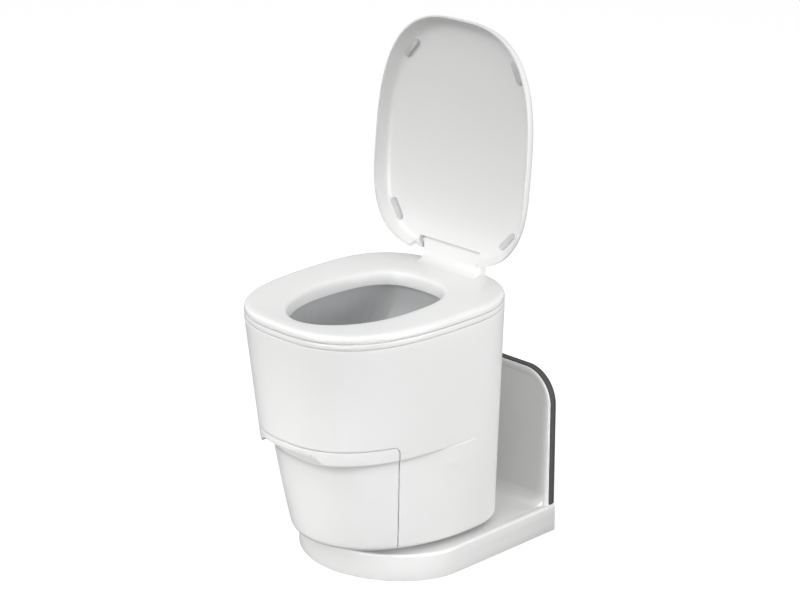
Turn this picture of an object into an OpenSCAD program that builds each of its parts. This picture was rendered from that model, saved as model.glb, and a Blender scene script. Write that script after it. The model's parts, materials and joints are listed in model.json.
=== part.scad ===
/* [Body] */
// Width of the body just below the seat
body_w = 385; // [376:1:400]
// Distance from the swivel axis to the front of the body at the seat
body_front = 264; // [258:1:275]
// Distance from the swivel axis to the back of the body at the seat
body_rear = 193; // [190:1:198]
// Height of the underside of the seat above the floor
seat_z = 490; // [488:1:500]
// Height of the crease under the swelling upper body
crease_z = 250; // [240:1:255]
// Width of the body at the crease
crease_w = 351; // [346:1:362]
// Distance from the swivel axis to the front of the crease
crease_front = 251; // [246:1:256]
// Width of the lower body
low_w = 338; // [334:1:344]
// Distance from the swivel axis to the front of the lower body at the crease
low_front = 209; // [204:1:214]
// Distance from the swivel axis to the front of the lower body at its foot
foot_front = 189; // [186:1:194]
// Distance from the swivel axis to the back of the lower body at its foot
foot_rear = 178; // [174:1:182]
// Clear height between the base and the body
body_gap = 10; // [9:0.5:12]
// Radius of the lower edge of the body
foot_r = 13; // [9:1:16]
// Wall of the moulded covers
wall = 3; // [2.5:0.5:4]

/* [Base] */
// Width of the base
base_w = 360; // [350:1:370]
// Distance from the swivel axis to the front of the base
base_front = 153; // [148:1:160]
// Thickness of the base
base_t = 52; // [50:1:56]
// Radius of the upper edge of the base
base_edge_r = 5; // [3:1:10]
// Distance from the swivel axis to the face of the back panel
panel_y = 251; // [251:1:262]
// Thickness of the back panel
panel_t = 17; // [14:1:22]
// Width of the back panel without its seal
panel_w = 350; // [340:1:352]
// Height of the top of the back panel
panel_top = 317; // [300:1:340]
// Corner radius of the back panel
panel_r = 64; // [50:1:80]
// Width of the raised rim round the back panel
panel_rim = 11; // [8:1:16]
// Depth of the recessed field of the back panel
panel_recess = 4; // [2:0.5:6]
// Radius of the hollow between the base and the back panel
panel_fillet = 26; // [16:1:30]
// Thickness of the rubber seal on the edge of the back panel
seal_t = 3.5; // [2.5:0.5:5]
// Width of the rubber seal
seal_w = 13; // [10:0.5:13]
// Distance between the floor bolt holes across the base
bolt_dx = 260; // [240:2:280]
// Distance between the floor bolt holes along the base
bolt_dy = 190; // [170:2:200]
// Bore of the floor bolt holes
bolt_d = 8.5; // [6.5:0.5:10.5]
// Depth of the floor bolt holes
bolt_depth = 30; // [20:1:36]

/* [Swivel] */
// Outer diameter of the low friction ring under the turntable
ring_d = 236; // [216:2:256]
// Width of the low friction ring
ring_w = 30; // [20:1:40]
// Outer diameter of the turntable
table_d = 270; // [262:2:290]
// Thickness of the turntable
table_t = 5; // [4:0.5:5.5]
// Outer diameter of the hollow spindle
spindle_d = 50; // [40:1:60]
// Bore of the hollow spindle for the supply lead
spindle_bore = 34; // [24:1:36]
// Distance of the detent pin from the swivel axis
detent_r = 103; // [98:1:106]

/* [Seat and lid] */
// Thickness of the seat at its top
seat_t = 14; // [12:1:16]
// Width of the seat opening
hole_w = 212; // [204:1:224]
// Distance from the swivel axis to the front of the seat opening
hole_front = 215; // [206:1:218]
// Distance from the swivel axis to the back of the seat opening
hole_rear = 95; // [88:1:104]
// Fall of the seat from its outer edge to the opening
seat_dish = 4; // [2:0.5:6]
// Depth of the inner lip of the seat below its top
lip_depth = 29; // [24:1:32]
// Width of the hinge block behind the seat
block_w = 130; // [110:2:140]
// Height of the lid pin above the underside of the seat
lid_pin_up = 50; // [47:0.5:52]
// Distance from the swivel axis to the lid pin
lid_pin_y = 177.5; // [175:0.5:179]
// Diameter of the lid pin
lid_pin_d = 8; // [6:0.5:10]
// Angle to which the lid opens
lid_open = 95.5; // [85:0.5:100]
// Share of the body outline that the lid covers
lid_share = 0.969; // [0.96:0.001:0.985]
// Depth of the lid at its middle
lid_depth = 38; // [36:1:42]
// Skin of the lid
lid_skin = 3.5; // [3:0.5:4]
// Height of the rubber bumpers in the lid
bumper_h = 7; // [5:0.5:8]
// Diameter of the seat hinge pins
seat_pin_d = 4; // [3:0.5:4.5]

/* [Door and bin] */
// Angle from the front to each side seam of the door, seen from above
door_angle = 45; // [42:1:50]
// Height of the top seam of the door above the floor
door_top_z = 279; // [274:1:284]
// Seam between the door and the covers
seam = 1.2; // [0.8:0.1:2]
// Corner radius of the door
door_r = 12; // [8:1:16]
// Width of the finger recess in the door
recess_w = 176; // [150:2:190]
// Height of the finger recess above the crease
recess_h = 17; // [12:1:20]
// Width of the waste bin at its rim
bin_w = 188; // [170:2:190]
// Length of the waste bin at its rim
bin_l = 222; // [206:2:226]
// Height of the waste bin
bin_h = 114; // [100:2:116]

/* [Sealing unit] */
// Distance between the side plates of the sealing unit
plate_gap = 236; // [232:1:240]
// Travel of the moving jaw
jaw_travel = 36; // [30:1:36]
// Height of the jaws
jaw_h = 36; // [30:1:38]
// Length of the sealing strip
strip_l = 190; // [170:2:196]
// Diameter of the guide rods
rod_d = 8; // [6:0.5:8]
// Gear module of the jaw drive
gear_m = 1.5; // [1.4:0.05:1.6]
// Teeth on each pinion
pinion_teeth = 16; // [15:1:17]
// Teeth on the drive gear
drive_teeth = 30; // [28:1:32]
// Teeth on the motor gear
motor_teeth = 14; // [13:1:15]
// Teeth on the roller gears
roller_teeth = 23; // [22:1:24]
// Play between the flanks of meshing teeth
backlash = 0.5; // [0.4:0.05:0.7]
// Diameter of the shaft that carries the pinions
shaft_d = 8; // [7:0.5:9]
// Diameter of the roller journals
journal_d = 7; // [6:0.5:8]

/* [Hidden] */

white = [0.94, 0.94, 0.93];
grey = [0.62, 0.63, 0.64];
dark = [0.25, 0.26, 0.27];
steel = [0.72, 0.73, 0.75];
film = [0.86, 0.87, 0.88];
board = [0.12, 0.35, 0.22];

// Points round each moulded outline, and round each small inner outline
ring_points = 64;
small_points = 40;
slip = 0.3;
fit = 0.05;
eps = 0.01;

// Squareness of the outlines: two is an ellipse, more is squarer
n_top = 2.8;
n_rear = 2.75;
n_crease = 2.4;
n_low = 3.1;
n_foot = 2.1;
n_hole_front = 1.95;
n_hole_rear = 3;
mid_top = 14.5;
mid_low = 57;
mid_hole = -60;
base_n = 1.9;

// Heights of the stack from the floor to the lid
foot_z = base_t + body_gap;
band_gap = 1.2;
band_h = 10.8;
band_top = seat_z - band_gap;
band_z = seat_z - band_h;
casing_top = band_z - band_gap;
seat_top = seat_z + seat_t;
lid_rim_z = seat_top + 1;
lid_pin_z = seat_z + lid_pin_up;
ring_t = 4;
table_z = base_t + ring_t + slip;
pan_z = table_z + table_t;
pan_t = 3;
bin_z = pan_z + pan_t + 12;
cove_h = 34;
fade_end = 45;
fade_length = 110;
door_reach = 420;
screw_heights = [110, 380];

// Places inside the body
post_w = 16;
posts = [[144, 8], [122, 118]];
heads = [[158, 8], [122, 118]];
portal_y = -112;
portal_t = 6;
rail_z = 222;
rail_t = 6;
rail_x = 131;
rail_w = 16;
bin_front = 168;
bin_wall = 2.2;
film_y = -40;
jaw_z = 244;
jaw_face_y = film_y + 5;
strip_h = 8;
strip_t = 2;
pad_t = 5;
beam_t = 16;
plate_t = 4;
plate_front = 122;
plate_rear = 78;
plate_top = 322;
roller_z = 208;
roller_gap = 0.8;
plate_foot = roller_z - 9;
rod_x = 103;
rod_z = jaw_z + 10;
rack_w = 8;
rack_h = 10;
rack_x = plate_gap / 2 - 2 - rack_w / 2;
rack_z = jaw_z + 18;
pinion_r = gear_m * pinion_teeth / 2;
drive_r = gear_m * drive_teeth / 2;
motor_r = gear_m * motor_teeth / 2;
shaft_y = 10;
shaft_z = rack_z + rack_h + pinion_r;
drive_x = 62;
gear_w = 8;
motor_y = shaft_y + drive_r + motor_r;
roller_m = 1;
roller_r = roller_m * roller_teeth / 2;
pressure = 20;
jaw_motor_d = 36;
jaw_motor_l = 56;
feed_motor_d = 26;
feed_motor_l = 22;
bowl_top = band_z - 9;
bowl_foot = 330;
bowl_wall = 2.6;
film_t = 0.8;
film_gap = 1.2;
film_lift = 1.2;
slot_w = 176;
slot_l = 26;
button_y = 96;
button_z = 430;
button_d = 24;
button_travel = 2;
block_front = 139;
barrel_r = 10.5;
pocket_gap = 1.8;
knuckle_r = 4.2;
knuckle_x = 16;
knuckle_w = 24;
ear_w = 10;
seat_hinge_y = body_rear - 0.4;
seat_hinge_z = seat_z - band_gap / 2;

function power(v, p) = sign(v) * pow(abs(v), p);
function mix(a, b, k) = a + (b - a) * k;

// A ring is half width, front, back, front and back squareness, middle and height
function oval(s, m = ring_points) = [
    for (i = [0:m - 1])
        let (
            t = 360 * i / m,
            back = sin(t) >= 0,
            p = 2 / (back ? s[4] : s[3]),
            reach = back ? s[2] - s[5] : s[5] + s[1]
        )
        [s[0] * power(cos(t), p), s[5] + reach * power(sin(t), p), s[6]]
];
function lift(pts, z) = [for (q = pts) [q[0], q[1], z]];
function blend(a, b, k, z) = [for (i = [0:len(a) - 1]) [mix(a[i][0], b[i][0], k), mix(a[i][1], b[i][1], k), z]];
function flat(pts) = [for (q = pts) [q[0], q[1]]];

// Outline of the body at a height where it has no step, moved inward by an inset
function plain_ring(z, inset) =
    let (k = (casing_top - z) / (casing_top - foot_z))
    oval([
        mix(body_w, low_w, k) / 2 - inset,
        mix(body_front, foot_front, k) - inset,
        mix(body_rear, foot_rear, k) - inset,
        mix(n_top, n_foot, k),
        n_rear,
        mix(mid_top, mid_low, k),
        z
    ]);

// The step between the upper and lower body fades out from the front to the back
function fade(y) = let (k = min(1, max(0, (fade_end - y) / fade_length))) k * k * (3 - 2 * k);
function faded(pts, plain) = [
    for (i = [0:len(pts) - 1])
        let (k = fade(pts[i][1]))
        [mix(plain[i][0], pts[i][0], k), mix(plain[i][1], pts[i][1], k), pts[i][2]]
];

// Outline of the upper body at a height, moved inward by an inset and by a bevel that fades too
function top_ring(z, inset, bevel = 0) =
    let (k = (casing_top - z) / (casing_top - crease_z), cut = inset + bevel)
    faded(
        oval([
            mix(body_w, crease_w, k) / 2 - cut,
            mix(body_front, crease_front, k) - cut,
            mix(body_rear, foot_rear, (casing_top - z) / (casing_top - foot_z)) - cut,
            mix(n_top, n_crease, k),
            n_rear,
            mid_top,
            z
        ]),
        plain_ring(z, inset)
    );

// Outline of the lower body at a height, moved inward by an inset
function low_ring(z, inset) =
    let (k = (crease_z - z) / (crease_z - foot_z))
    faded(
        oval([
            low_w / 2 - inset,
            mix(low_front, foot_front, k) - inset,
            mix(body_rear, foot_rear, (casing_top - z) / (casing_top - foot_z)) - inset,
            mix(n_low, n_foot, k),
            n_rear,
            mid_low,
            z
        ]),
        plain_ring(z, inset)
    );

// Hollow under the upper body, from its crease to the lower body
function cove_ring(turn, inset, up) =
    let (
        z = crease_z + up - cove_h * (1 - cos(turn)),
        step = blend(top_ring(crease_z, inset, 3), low_ring(crease_z - cove_h, inset), sin(turn), z)
    )
    faded(step, plain_ring(z, inset));

function foot_ring(turn, inset) =
    low_ring(foot_z + foot_r - (foot_r - inset) * sin(turn), inset + (foot_r - inset) * (1 - cos(turn)));

// Outside and inside of the covers, up to just above the crease and from there to the top
function low_outside() = [
    foot_ring(90, 0),
    foot_ring(60, 0),
    foot_ring(30, 0),
    low_ring(foot_z + foot_r, 0),
    low_ring(150, 0),
    cove_ring(90, 0, 0),
    cove_ring(60, 0, 0),
    cove_ring(30, 0, 0),
    cove_ring(0, 0, 0),
    top_ring(crease_z + 1, 0, 1),
    top_ring(crease_z + 4, 0),
    top_ring(330, 0)
];
function low_inside() = [
    top_ring(330, wall),
    top_ring(crease_z + wall + 4, wall),
    cove_ring(0, wall, wall),
    cove_ring(30, wall, wall),
    cove_ring(60, wall, wall),
    cove_ring(90, wall, wall),
    low_ring(150, wall),
    low_ring(foot_z + foot_r, wall),
    foot_ring(45, wall),
    foot_ring(90, wall)
];
function high_rings() = [
    top_ring(410, 0),
    top_ring(casing_top - 1.5, 0),
    top_ring(casing_top, 1.5),
    top_ring(casing_top - wall, wall),
    top_ring(410, wall)
];

// Solid through a pile of rings with the same number of points
module loft(rings) {
    m = len(rings[0]);
    last = len(rings) - 1;
    sides = [
        for (k = [0:last - 1])
            for (i = [0:m - 1])
                let (j = (i + 1) % m)
                each [
                    [k * m + i, (k + 1) * m + i, (k + 1) * m + j],
                    [k * m + i, (k + 1) * m + j, k * m + j]
                ]
    ];
    foot = [for (i = [0:m - 1]) i];
    head = [for (i = [m - 1:-1:0]) last * m + i];
    polyhedron([for (r = rings) each r], concat(sides, [foot, head]));
}

// Closed tube through rings that climb outside and come down inside
module shell(rings) {
    m = len(rings[0]);
    n = len(rings);
    sides = [
        for (k = [0:n - 1])
            for (i = [0:m - 1])
                let (j = (i + 1) % m, up = (k + 1) % n)
                each [
                    [k * m + i, up * m + i, up * m + j],
                    [k * m + i, up * m + j, k * m + j]
                ]
    ];
    polyhedron([for (r = rings) each r], sides);
}

// Rounded bar along X, and a round rod along X or Y
module rod_x(d, x1, x2, y, z) {
    translate([x1, y, z]) rotate([0, 90, 0]) cylinder(d = d, h = x2 - x1, $fn = 48);
}
module rod_y(d, y1, y2, x, z) {
    translate([x, y1, z]) rotate([-90, 0, 0]) cylinder(d = d, h = y2 - y1, $fn = 48);
}
module box(x1, x2, y1, y2, z1, z2) {
    translate([x1, y1, z1]) cube([x2 - x1, y2 - y1, z2 - z1]);
}
module both_sides() {
    children();
    mirror([1, 0, 0]) children();
}

// Involute of the base circle of a gear
function involute(a) = tan(a) * 180 / PI - a;
function flank(r, pitch_r, teeth, play) =
    let (
        base_r = pitch_r * cos(pressure),
        a = acos(min(1, base_r / max(r, base_r)))
    )
    90 / teeth - play / 4 / pitch_r * 180 / PI + involute(pressure) - involute(a);
function tooth_radii(m, pitch_r) = [
    for (k = [0:4]) mix(max(pitch_r - 1.2 * m, 0), pitch_r + 0.9 * m, k / 4)
];
function gear_points(m, teeth) =
    let (pitch_r = m * teeth / 2, radii = tooth_radii(m, pitch_r))
    [
        for (i = [0:teeth - 1])
            let (mid = 360 * i / teeth)
            each concat(
                [for (k = [0:4]) let (a = mid - flank(radii[k], pitch_r, teeth, backlash)) radii[k] * [cos(a), sin(a)]],
                [for (k = [4:-1:0]) let (a = mid + flank(radii[k], pitch_r, teeth, backlash)) radii[k] * [cos(a), sin(a)]]
            )
    ];

// Gear with its axis along X, turned so that a tooth points at the given angle from +Y
module gear_x(m, teeth, width, bore, turn, x, y, z) {
    translate([x, y, z]) rotate([90, 0, 90]) difference() {
        linear_extrude(width) rotate(turn) polygon(gear_points(m, teeth));
        translate([0, 0, -1]) cylinder(d = bore, h = width + 2, $fn = 48);
    }
}

// Base, fixed to the floor and the wall

function base_ring(inset, z) =
    let (m = 48)
    concat(
        [for (i = [0:m]) let (t = 180 + 180 * i / m) [
            (base_w / 2 - inset) * power(cos(t), 2 / base_n),
            (base_front - inset) * power(sin(t), 2 / base_n),
            z
        ]],
        [[base_w / 2 - inset, panel_y + panel_t, z], [-base_w / 2 + inset, panel_y + panel_t, z]]
    );

module panel_outline(half, top, r) {
    union() {
        translate([-half, 0]) square([half * 2, top - r]);
        translate([-half + r, 0]) square([half * 2 - r * 2, top]);
        translate([-half + r, top - r]) circle(r, $fn = 64);
        translate([half - r, top - r]) circle(r, $fn = 64);
    }
}

module upright(y, t) {
    translate([0, y + t, 0]) rotate([90, 0, 0]) linear_extrude(t) children();
}

module base_stand() {
    field_half = panel_w / 2 - panel_rim;
    groove = 1;
    color(white) difference() {
        union() {
            linear_extrude(base_t - base_edge_r) polygon(flat(base_ring(0, 0)));
            loft([for (t = [0:30:90]) base_ring(base_edge_r * (1 - cos(t)), base_t - base_edge_r * (1 - sin(t)))]);
            upright(panel_y, panel_t) panel_outline(panel_w / 2, panel_top, panel_r);
            translate([-field_half, panel_y + panel_recess - panel_fillet, base_t])
                difference() {
                    cube([field_half * 2, panel_fillet + eps, panel_fillet]);
                    translate([-1, 0, panel_fillet]) rotate([0, 90, 0])
                        cylinder(r = panel_fillet, h = field_half * 2 + 2, $fn = 64);
                }
        }
        upright(panel_y - 1, panel_recess + 1) intersection() {
            panel_outline(field_half, panel_top - panel_rim, panel_r - panel_rim);
            translate([-field_half, base_t + eps]) square([field_half * 2, panel_top]);
        }
        upright(panel_y + panel_t - seal_w, seal_w + 1) difference() {
            translate([-base_w / 2, base_t + 2]) square([base_w, panel_top]);
            panel_outline(panel_w / 2 - groove, panel_top - groove, panel_r - groove);
        }
        translate([0, 0, -1]) cylinder(d = spindle_d + 2 * fit, h = base_t + 2, $fn = 64);
        translate([0, 0, -1]) cylinder(d = spindle_d + 24, h = 9, $fn = 64);
        box(-8, 8, 0, panel_y + panel_t + 1, -1, 8);
        for (x = [-1, 1], y = [0, 1])
            translate([x * bolt_dx / 2, y * bolt_dy, -1]) cylinder(d = bolt_d, h = bolt_depth + 1, $fn = 32);
        translate([-base_w / 2 - 1, 200, base_t / 2]) rotate([0, 90, 0]) cylinder(d = 16, h = 29, $fn = 48);
        translate([-base_w / 2 + 20, 200, base_t / 2]) rotate([0, 90, 0]) cylinder(d = 9, h = base_w / 2 - 24, $fn = 48);
        box(-9, 9, 192, 208, 4, base_t / 2 + 4.5);
    }
}

module panel_seal() {
    groove = 1;
    color(dark) upright(panel_y + panel_t - seal_w, seal_w) difference() {
        panel_outline(panel_w / 2 - groove + seal_t, panel_top - groove + seal_t, panel_r - groove + seal_t);
        panel_outline(panel_w / 2 - groove, panel_top - groove, panel_r - groove);
        translate([-base_w, -1]) square([base_w * 2, base_t + 3]);
    }
}

module power_inlet() {
    x = -base_w / 2;
    color(dark) difference() {
        union() {
            rod_x(15.9, x + 1, x + 26, 200, base_t / 2);
            rod_x(8.9, x + 26 - eps, x + 34, 200, base_t / 2);
        }
        rod_x(9, x - 1, x + 14, 200, base_t / 2);
    }
    color(steel) rod_x(3, x + 4, x + 14, 200, base_t / 2);
}

module slide_ring() {
    color(grey) translate([0, 0, base_t]) difference() {
        cylinder(d = ring_d, h = ring_t, $fn = 96);
        translate([0, 0, -1]) cylinder(d = ring_d - 2 * ring_w, h = 9, $fn = 96);
        for (i = [0:7]) rotate(i * 45 + 90)
            translate([detent_r, 0, 1.5]) cylinder(d = 9, h = 9, $fn = 32);
    }
}

module swivel_spindle() {
    color(steel) difference() {
        union() {
            translate([0, 0, 2]) cylinder(d = spindle_d + 22, h = 6, $fn = 64);
            translate([0, 0, 2]) cylinder(d = spindle_d, h = pan_z + pan_t + 8, $fn = 64);
        }
        translate([0, 0, 1]) cylinder(d = spindle_bore, h = pan_z + 20, $fn = 64);
    }
}

// Body that turns on the base

module turntable() {
    color(steel) difference() {
        translate([0, 0, table_z]) cylinder(d = table_d, h = table_t, $fn = 96);
        translate([0, 0, base_t]) cylinder(d = spindle_d + 2 * fit, h = 20, $fn = 64);
        translate([0, detent_r, base_t]) cylinder(d = 8, h = 20, $fn = 32);
        for (i = [0:3]) rotate(45 + 90 * i) translate([88, 0, base_t]) cylinder(d = 5, h = 20, $fn = 24);
    }
}

module spindle_nut() {
    color(steel) translate([0, 0, pan_z + pan_t + slip]) difference() {
        cylinder(d = spindle_d + 16, h = 7, $fn = 64);
        translate([0, 0, -1]) cylinder(d = spindle_d, h = 9, $fn = 64);
        for (i = [0:3]) rotate(90 * i) translate([spindle_d / 2 + 5, -2.5, 3]) cube([9, 5, 9]);
    }
}

module detent_plunger() {
    color(steel) translate([0, detent_r, 0]) {
        translate([0, 0, table_z + 3.5]) cylinder(d = 8, h = pan_t + table_t + 8, $fn = 32);
        translate([0, 0, table_z + 3.5]) sphere(r = 3.5, $fn = 32);
    }
}

module chassis() {
    color(grey) difference() {
        union() {
            translate([0, 0, pan_z]) linear_extrude(pan_t) polygon(flat(low_ring(foot_z, foot_r + slip)));
            both_sides() {
                for (q = posts)
                    box(
                        q[0] - post_w / 2, q[0] + post_w / 2,
                        q[1] - post_w / 2, q[1] + post_w / 2,
                        pan_z + pan_t - eps, bowl_top - bowl_wall - 1
                    );
                for (q = heads)
                    box(
                        q[0] - post_w / 2, q[0] + post_w / 2,
                        q[1] - post_w / 2, q[1] + post_w / 2,
                        bowl_top - 40, band_z - slip
                    );
                box(
                    rail_x - rail_w / 2, rail_x + rail_w / 2,
                    portal_y + portal_t, posts[1][1],
                    rail_z, rail_z + rail_t
                );
            }
            box(
                -posts[1][0], posts[1][0],
                posts[1][1] + post_w / 2 - 6, posts[1][1] + post_w / 2,
                rail_z - 40, rail_z + rail_t
            );
        }
        for (q = frame_screw_places())
            translate([q[0], q[1], band_z - 14]) cylinder(d = 4, h = 20, $fn = 24);
        translate([0, 0, pan_z - 1]) cylinder(d = spindle_d + 2 * fit, h = 9, $fn = 64);
        translate([0, detent_r, pan_z - 1]) cylinder(d = 8, h = 9, $fn = 32);
    }
}

// The door is the front sector of the lower body, with rounded upper corners
module sector(grow, foot, top) {
    along = door_reach * [sin(door_angle), -cos(door_angle)];
    out = grow * [cos(door_angle), sin(door_angle)];
    translate([0, 0, foot]) linear_extrude(top - foot) polygon([
        [0, grow / sin(door_angle)],
        [-along[0] - out[0], along[1] + out[1]],
        along + out
    ]);
}
module door_block(grow) {
    r = door_r + grow;
    top = door_top_z + grow;
    sector(grow, foot_z - 20, top - r);
    sector(grow - r, foot_z - 20, top);
    both_sides() rotate(door_angle - 90) translate([60, grow - r, top - r])
        rotate([0, 90, 0]) cylinder(r = r, h = door_reach - 60, $fn = 48);
}
module from_front(back) {
    translate([0, -back, 0]) rotate([90, 0, 0]) linear_extrude(door_reach) children();
}

module rear_casing() {
    color(white) difference() {
        shell(concat(low_outside(), high_rings(), low_inside()));
        door_block(seam);
        translate([-body_w, button_y, button_z]) rotate([0, 90, 0]) cylinder(d = button_d + 6, h = body_w, $fn = 48);
        for (x = [-90, 90], z = screw_heights) {
            rod_y(4.5, 0, body_rear + 20, x, z);
            rod_y(10, rear_face(x, z) - 0.8, body_rear + 20, x, z);
        }
    }
}

module casing_screws() {
    color(steel) for (x = [-90, 90], z = screw_heights) {
        y = rear_face(x, z) - 0.8;
        rod_y(9, y, y + 2.4, x, z);
        rod_y(4, y - 16, y + eps, x, z);
    }
}
function plain_half(z) = mix(body_w, low_w, (casing_top - z) / (casing_top - foot_z)) / 2;
function plain_rear(z) = mix(body_rear, foot_rear, (casing_top - z) / (casing_top - foot_z));
function plain_mid(z) = mix(mid_top, mid_low, (casing_top - z) / (casing_top - foot_z));
function rear_face(x, z) =
    plain_mid(z) + (plain_rear(z) - plain_mid(z)) * pow(1 - pow(abs(x) / plain_half(z), n_rear), 1 / n_rear);
function side_face(y, z) =
    plain_half(z) * pow(1 - pow((y - plain_mid(z)) / (plain_rear(z) - plain_mid(z)), n_rear), 1 / n_rear);

module recess_outline(grow) {
    half = recess_w / 2;
    foot = crease_z - cove_h - 6;
    top = crease_z + recess_h + grow;
    polygon([
        [-half + 22 - grow, foot - grow], [half - 22 + grow, foot - grow],
        [half + grow, crease_z - 1], [half - 8 + grow, crease_z + recess_h * 0.3],
        [half - 20 + grow, crease_z + recess_h * 0.8 + grow], [half - 36, top],
        [-half + 36, top], [-half + 20 - grow, crease_z + recess_h * 0.8 + grow],
        [-half + 8 - grow, crease_z + recess_h * 0.3], [-half - grow, crease_z - 1]
    ]);
}

module front_door() {
    pocket_back = low_front + 2;
    color(white) difference() {
        intersection() {
            union() {
                shell(concat(low_outside(), low_inside()));
                intersection() {
                    loft(low_outside());
                    from_front(pocket_back - wall) recess_outline(wall);
                }
            }
            door_block(0);
        }
        from_front(pocket_back) recess_outline(0);
    }
    color(white) both_sides() {
        for (q = door_catches())
            rod_y(12, door_inner(q[0], q[1]) - 1.2, portal_y - 1.6, q[0], q[1]);
    }
}
function door_catches() = [[102, 92], [126, 208]];
function door_inner(x, z) =
    let (
        k = (crease_z - z) / (crease_z - foot_z),
        front = mix(low_front, foot_front, k) - wall,
        n = mix(n_low, n_foot, k),
        half = low_w / 2 - wall
    )
    mid_low - (mid_low + front) * pow(1 - pow((x + 6) / half, n), 1 / n);

module door_strikers() {
    color(steel) both_sides() {
        for (q = door_catches()) rod_y(11, portal_y - 1.6, portal_y - slip, q[0], q[1]);
    }
}

module door_frame() {
    half_low = 108;
    half_top = 146;
    top = rail_z + rail_t;
    inner = bin_w / 2 + 3;
    foot = pan_z + pan_t;
    color(grey) difference() {
        upright(portal_y, portal_t) difference() {
            polygon([[-half_low, foot], [half_low, foot], [half_top, top], [-half_top, top]]);
            polygon([[-inner, foot - 1], [inner, foot - 1], [inner, rail_z - 19], [-inner, rail_z - 19]]);
        }
        both_sides() {
            for (q = door_catches()) rod_y(8, portal_y - 1, portal_y + 4, q[0], q[1]);
        }
    }
}

module door_magnets() {
    color(dark) both_sides() {
        for (q = door_catches()) rod_y(8, portal_y, portal_y + 4, q[0], q[1]);
    }
}

module band_outline(inset) {
    polygon(flat(top_ring(casing_top, inset)));
}
module hole_outline(grow) {
    polygon(flat(hole_ring(grow, 0, ring_points)));
}
function hole_ring(grow, z, m = small_points) =
    oval([hole_w / 2 + grow, hole_front + grow, hole_rear + grow, n_hole_front, n_hole_rear, mid_hole, z], m);

module knuckle(x1, x2, r) {
    both_sides() rod_x(2 * r, x1, x2, seat_hinge_y, seat_hinge_z);
}

module top_frame() {
    x1 = knuckle_x;
    x2 = knuckle_x + knuckle_w;
    color(white) difference() {
        union() {
            translate([0, 0, band_z]) linear_extrude(band_top - band_z) difference() {
                band_outline(0);
                hole_outline(36);
            }
            knuckle(x1 - ear_w, x1 - slip, knuckle_r);
            knuckle(x2 + slip, x2 + ear_w, knuckle_r);
        }
        knuckle(x1 - slip, x2 + slip, knuckle_r + 0.6);
        both_sides() rod_x(seat_pin_d, x1 - ear_w - 1, x2 + ear_w + 1, seat_hinge_y, seat_hinge_z);
        for (q = frame_screw_places()) translate([q[0], q[1], band_z - 1]) cylinder(d = 4, h = 20, $fn = 24);
    }
}
function frame_screw_places() = [
    for (q = heads) each [[q[0], q[1]], [-q[0], q[1]]]
];
module frame_screws() {
    color(steel) for (q = frame_screw_places()) {
        translate([q[0], q[1], band_z - 13]) cylinder(d = 4, h = band_top - band_z + 12, $fn = 24);
    }
}
module seat_pins() {
    color(steel) both_sides()
        rod_x(seat_pin_d, knuckle_x - ear_w + 1, knuckle_x + knuckle_w + ear_w - 1, seat_hinge_y, seat_hinge_z);
}

function slot_ring(grow, z) =
    oval([slot_w / 2 + grow, slot_l / 2 - film_y + grow, film_y + slot_l / 2 + grow, 5, 5, film_y, z], small_points);
function bowl_ring(grow, z) =
    let (u = (bowl_top - z) / (bowl_top - bowl_foot))
    blend(hole_ring(6 + grow, z), slot_ring(grow, z), pow(max(0, u), 1.8), z);

module bowl() {
    steps = 5;
    depth = bowl_top - bowl_foot;
    color(grey) shell(concat(
        [for (i = [0:steps - 1]) bowl_ring(bowl_wall, bowl_foot + depth * i / steps)],
        [
            hole_ring(6 + bowl_wall, bowl_top - bowl_wall),
            hole_ring(42, bowl_top - bowl_wall),
            hole_ring(42, band_z - slip),
            hole_ring(39, band_z - slip),
            hole_ring(39, bowl_top),
            hole_ring(6, bowl_top)
        ],
        [for (i = [steps - 1:-1:0]) bowl_ring(0, bowl_foot + depth * i / steps)]
    ));
}

module film_cassette() {
    z1 = bowl_top + slip;
    z2 = seat_z - 3;
    folds = 5;
    color(film) shell(concat(
        [hole_ring(34, z1)],
        [for (i = [1:folds]) hole_ring(i % 2 == 0 ? 34 : 32.5, z1 + (z2 - z1) * i / (folds + 1))],
        [hole_ring(33, z2), hole_ring(8, z2), hole_ring(7, z2 - 1), hole_ring(7, z1)]
    ));
}

function film_ring(grow, z) = lift(bowl_ring(grow - film_gap, z), z + film_lift);
module liner_film() {
    steps = 5;
    depth = bowl_top - bowl_foot;
    tail = bowl_foot - 34;
    color(film) loft(concat(
        [
            oval([slot_w / 2 - 5, 1.6 - film_y, film_y + 1.6, 5, 5, film_y, tail], small_points),
            slot_ring(-film_gap, bowl_foot)
        ],
        [for (i = [1:steps]) film_ring(0, bowl_foot + depth * i / steps)],
        [hole_ring(6 - film_gap, seat_z - 2), hole_ring(6 - film_gap - film_t, seat_z - 2)],
        [for (i = [steps:-1:1]) film_ring(-film_t, bowl_foot + depth * i / steps)],
        [
            slot_ring(-film_gap - film_t, bowl_foot),
            oval([slot_w / 2 - 6, 0.6 - film_y, film_y + 0.6, 5, 5, film_y, tail + film_t], small_points)
        ]
    ));
}

// Sealing unit under the bowl

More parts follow.
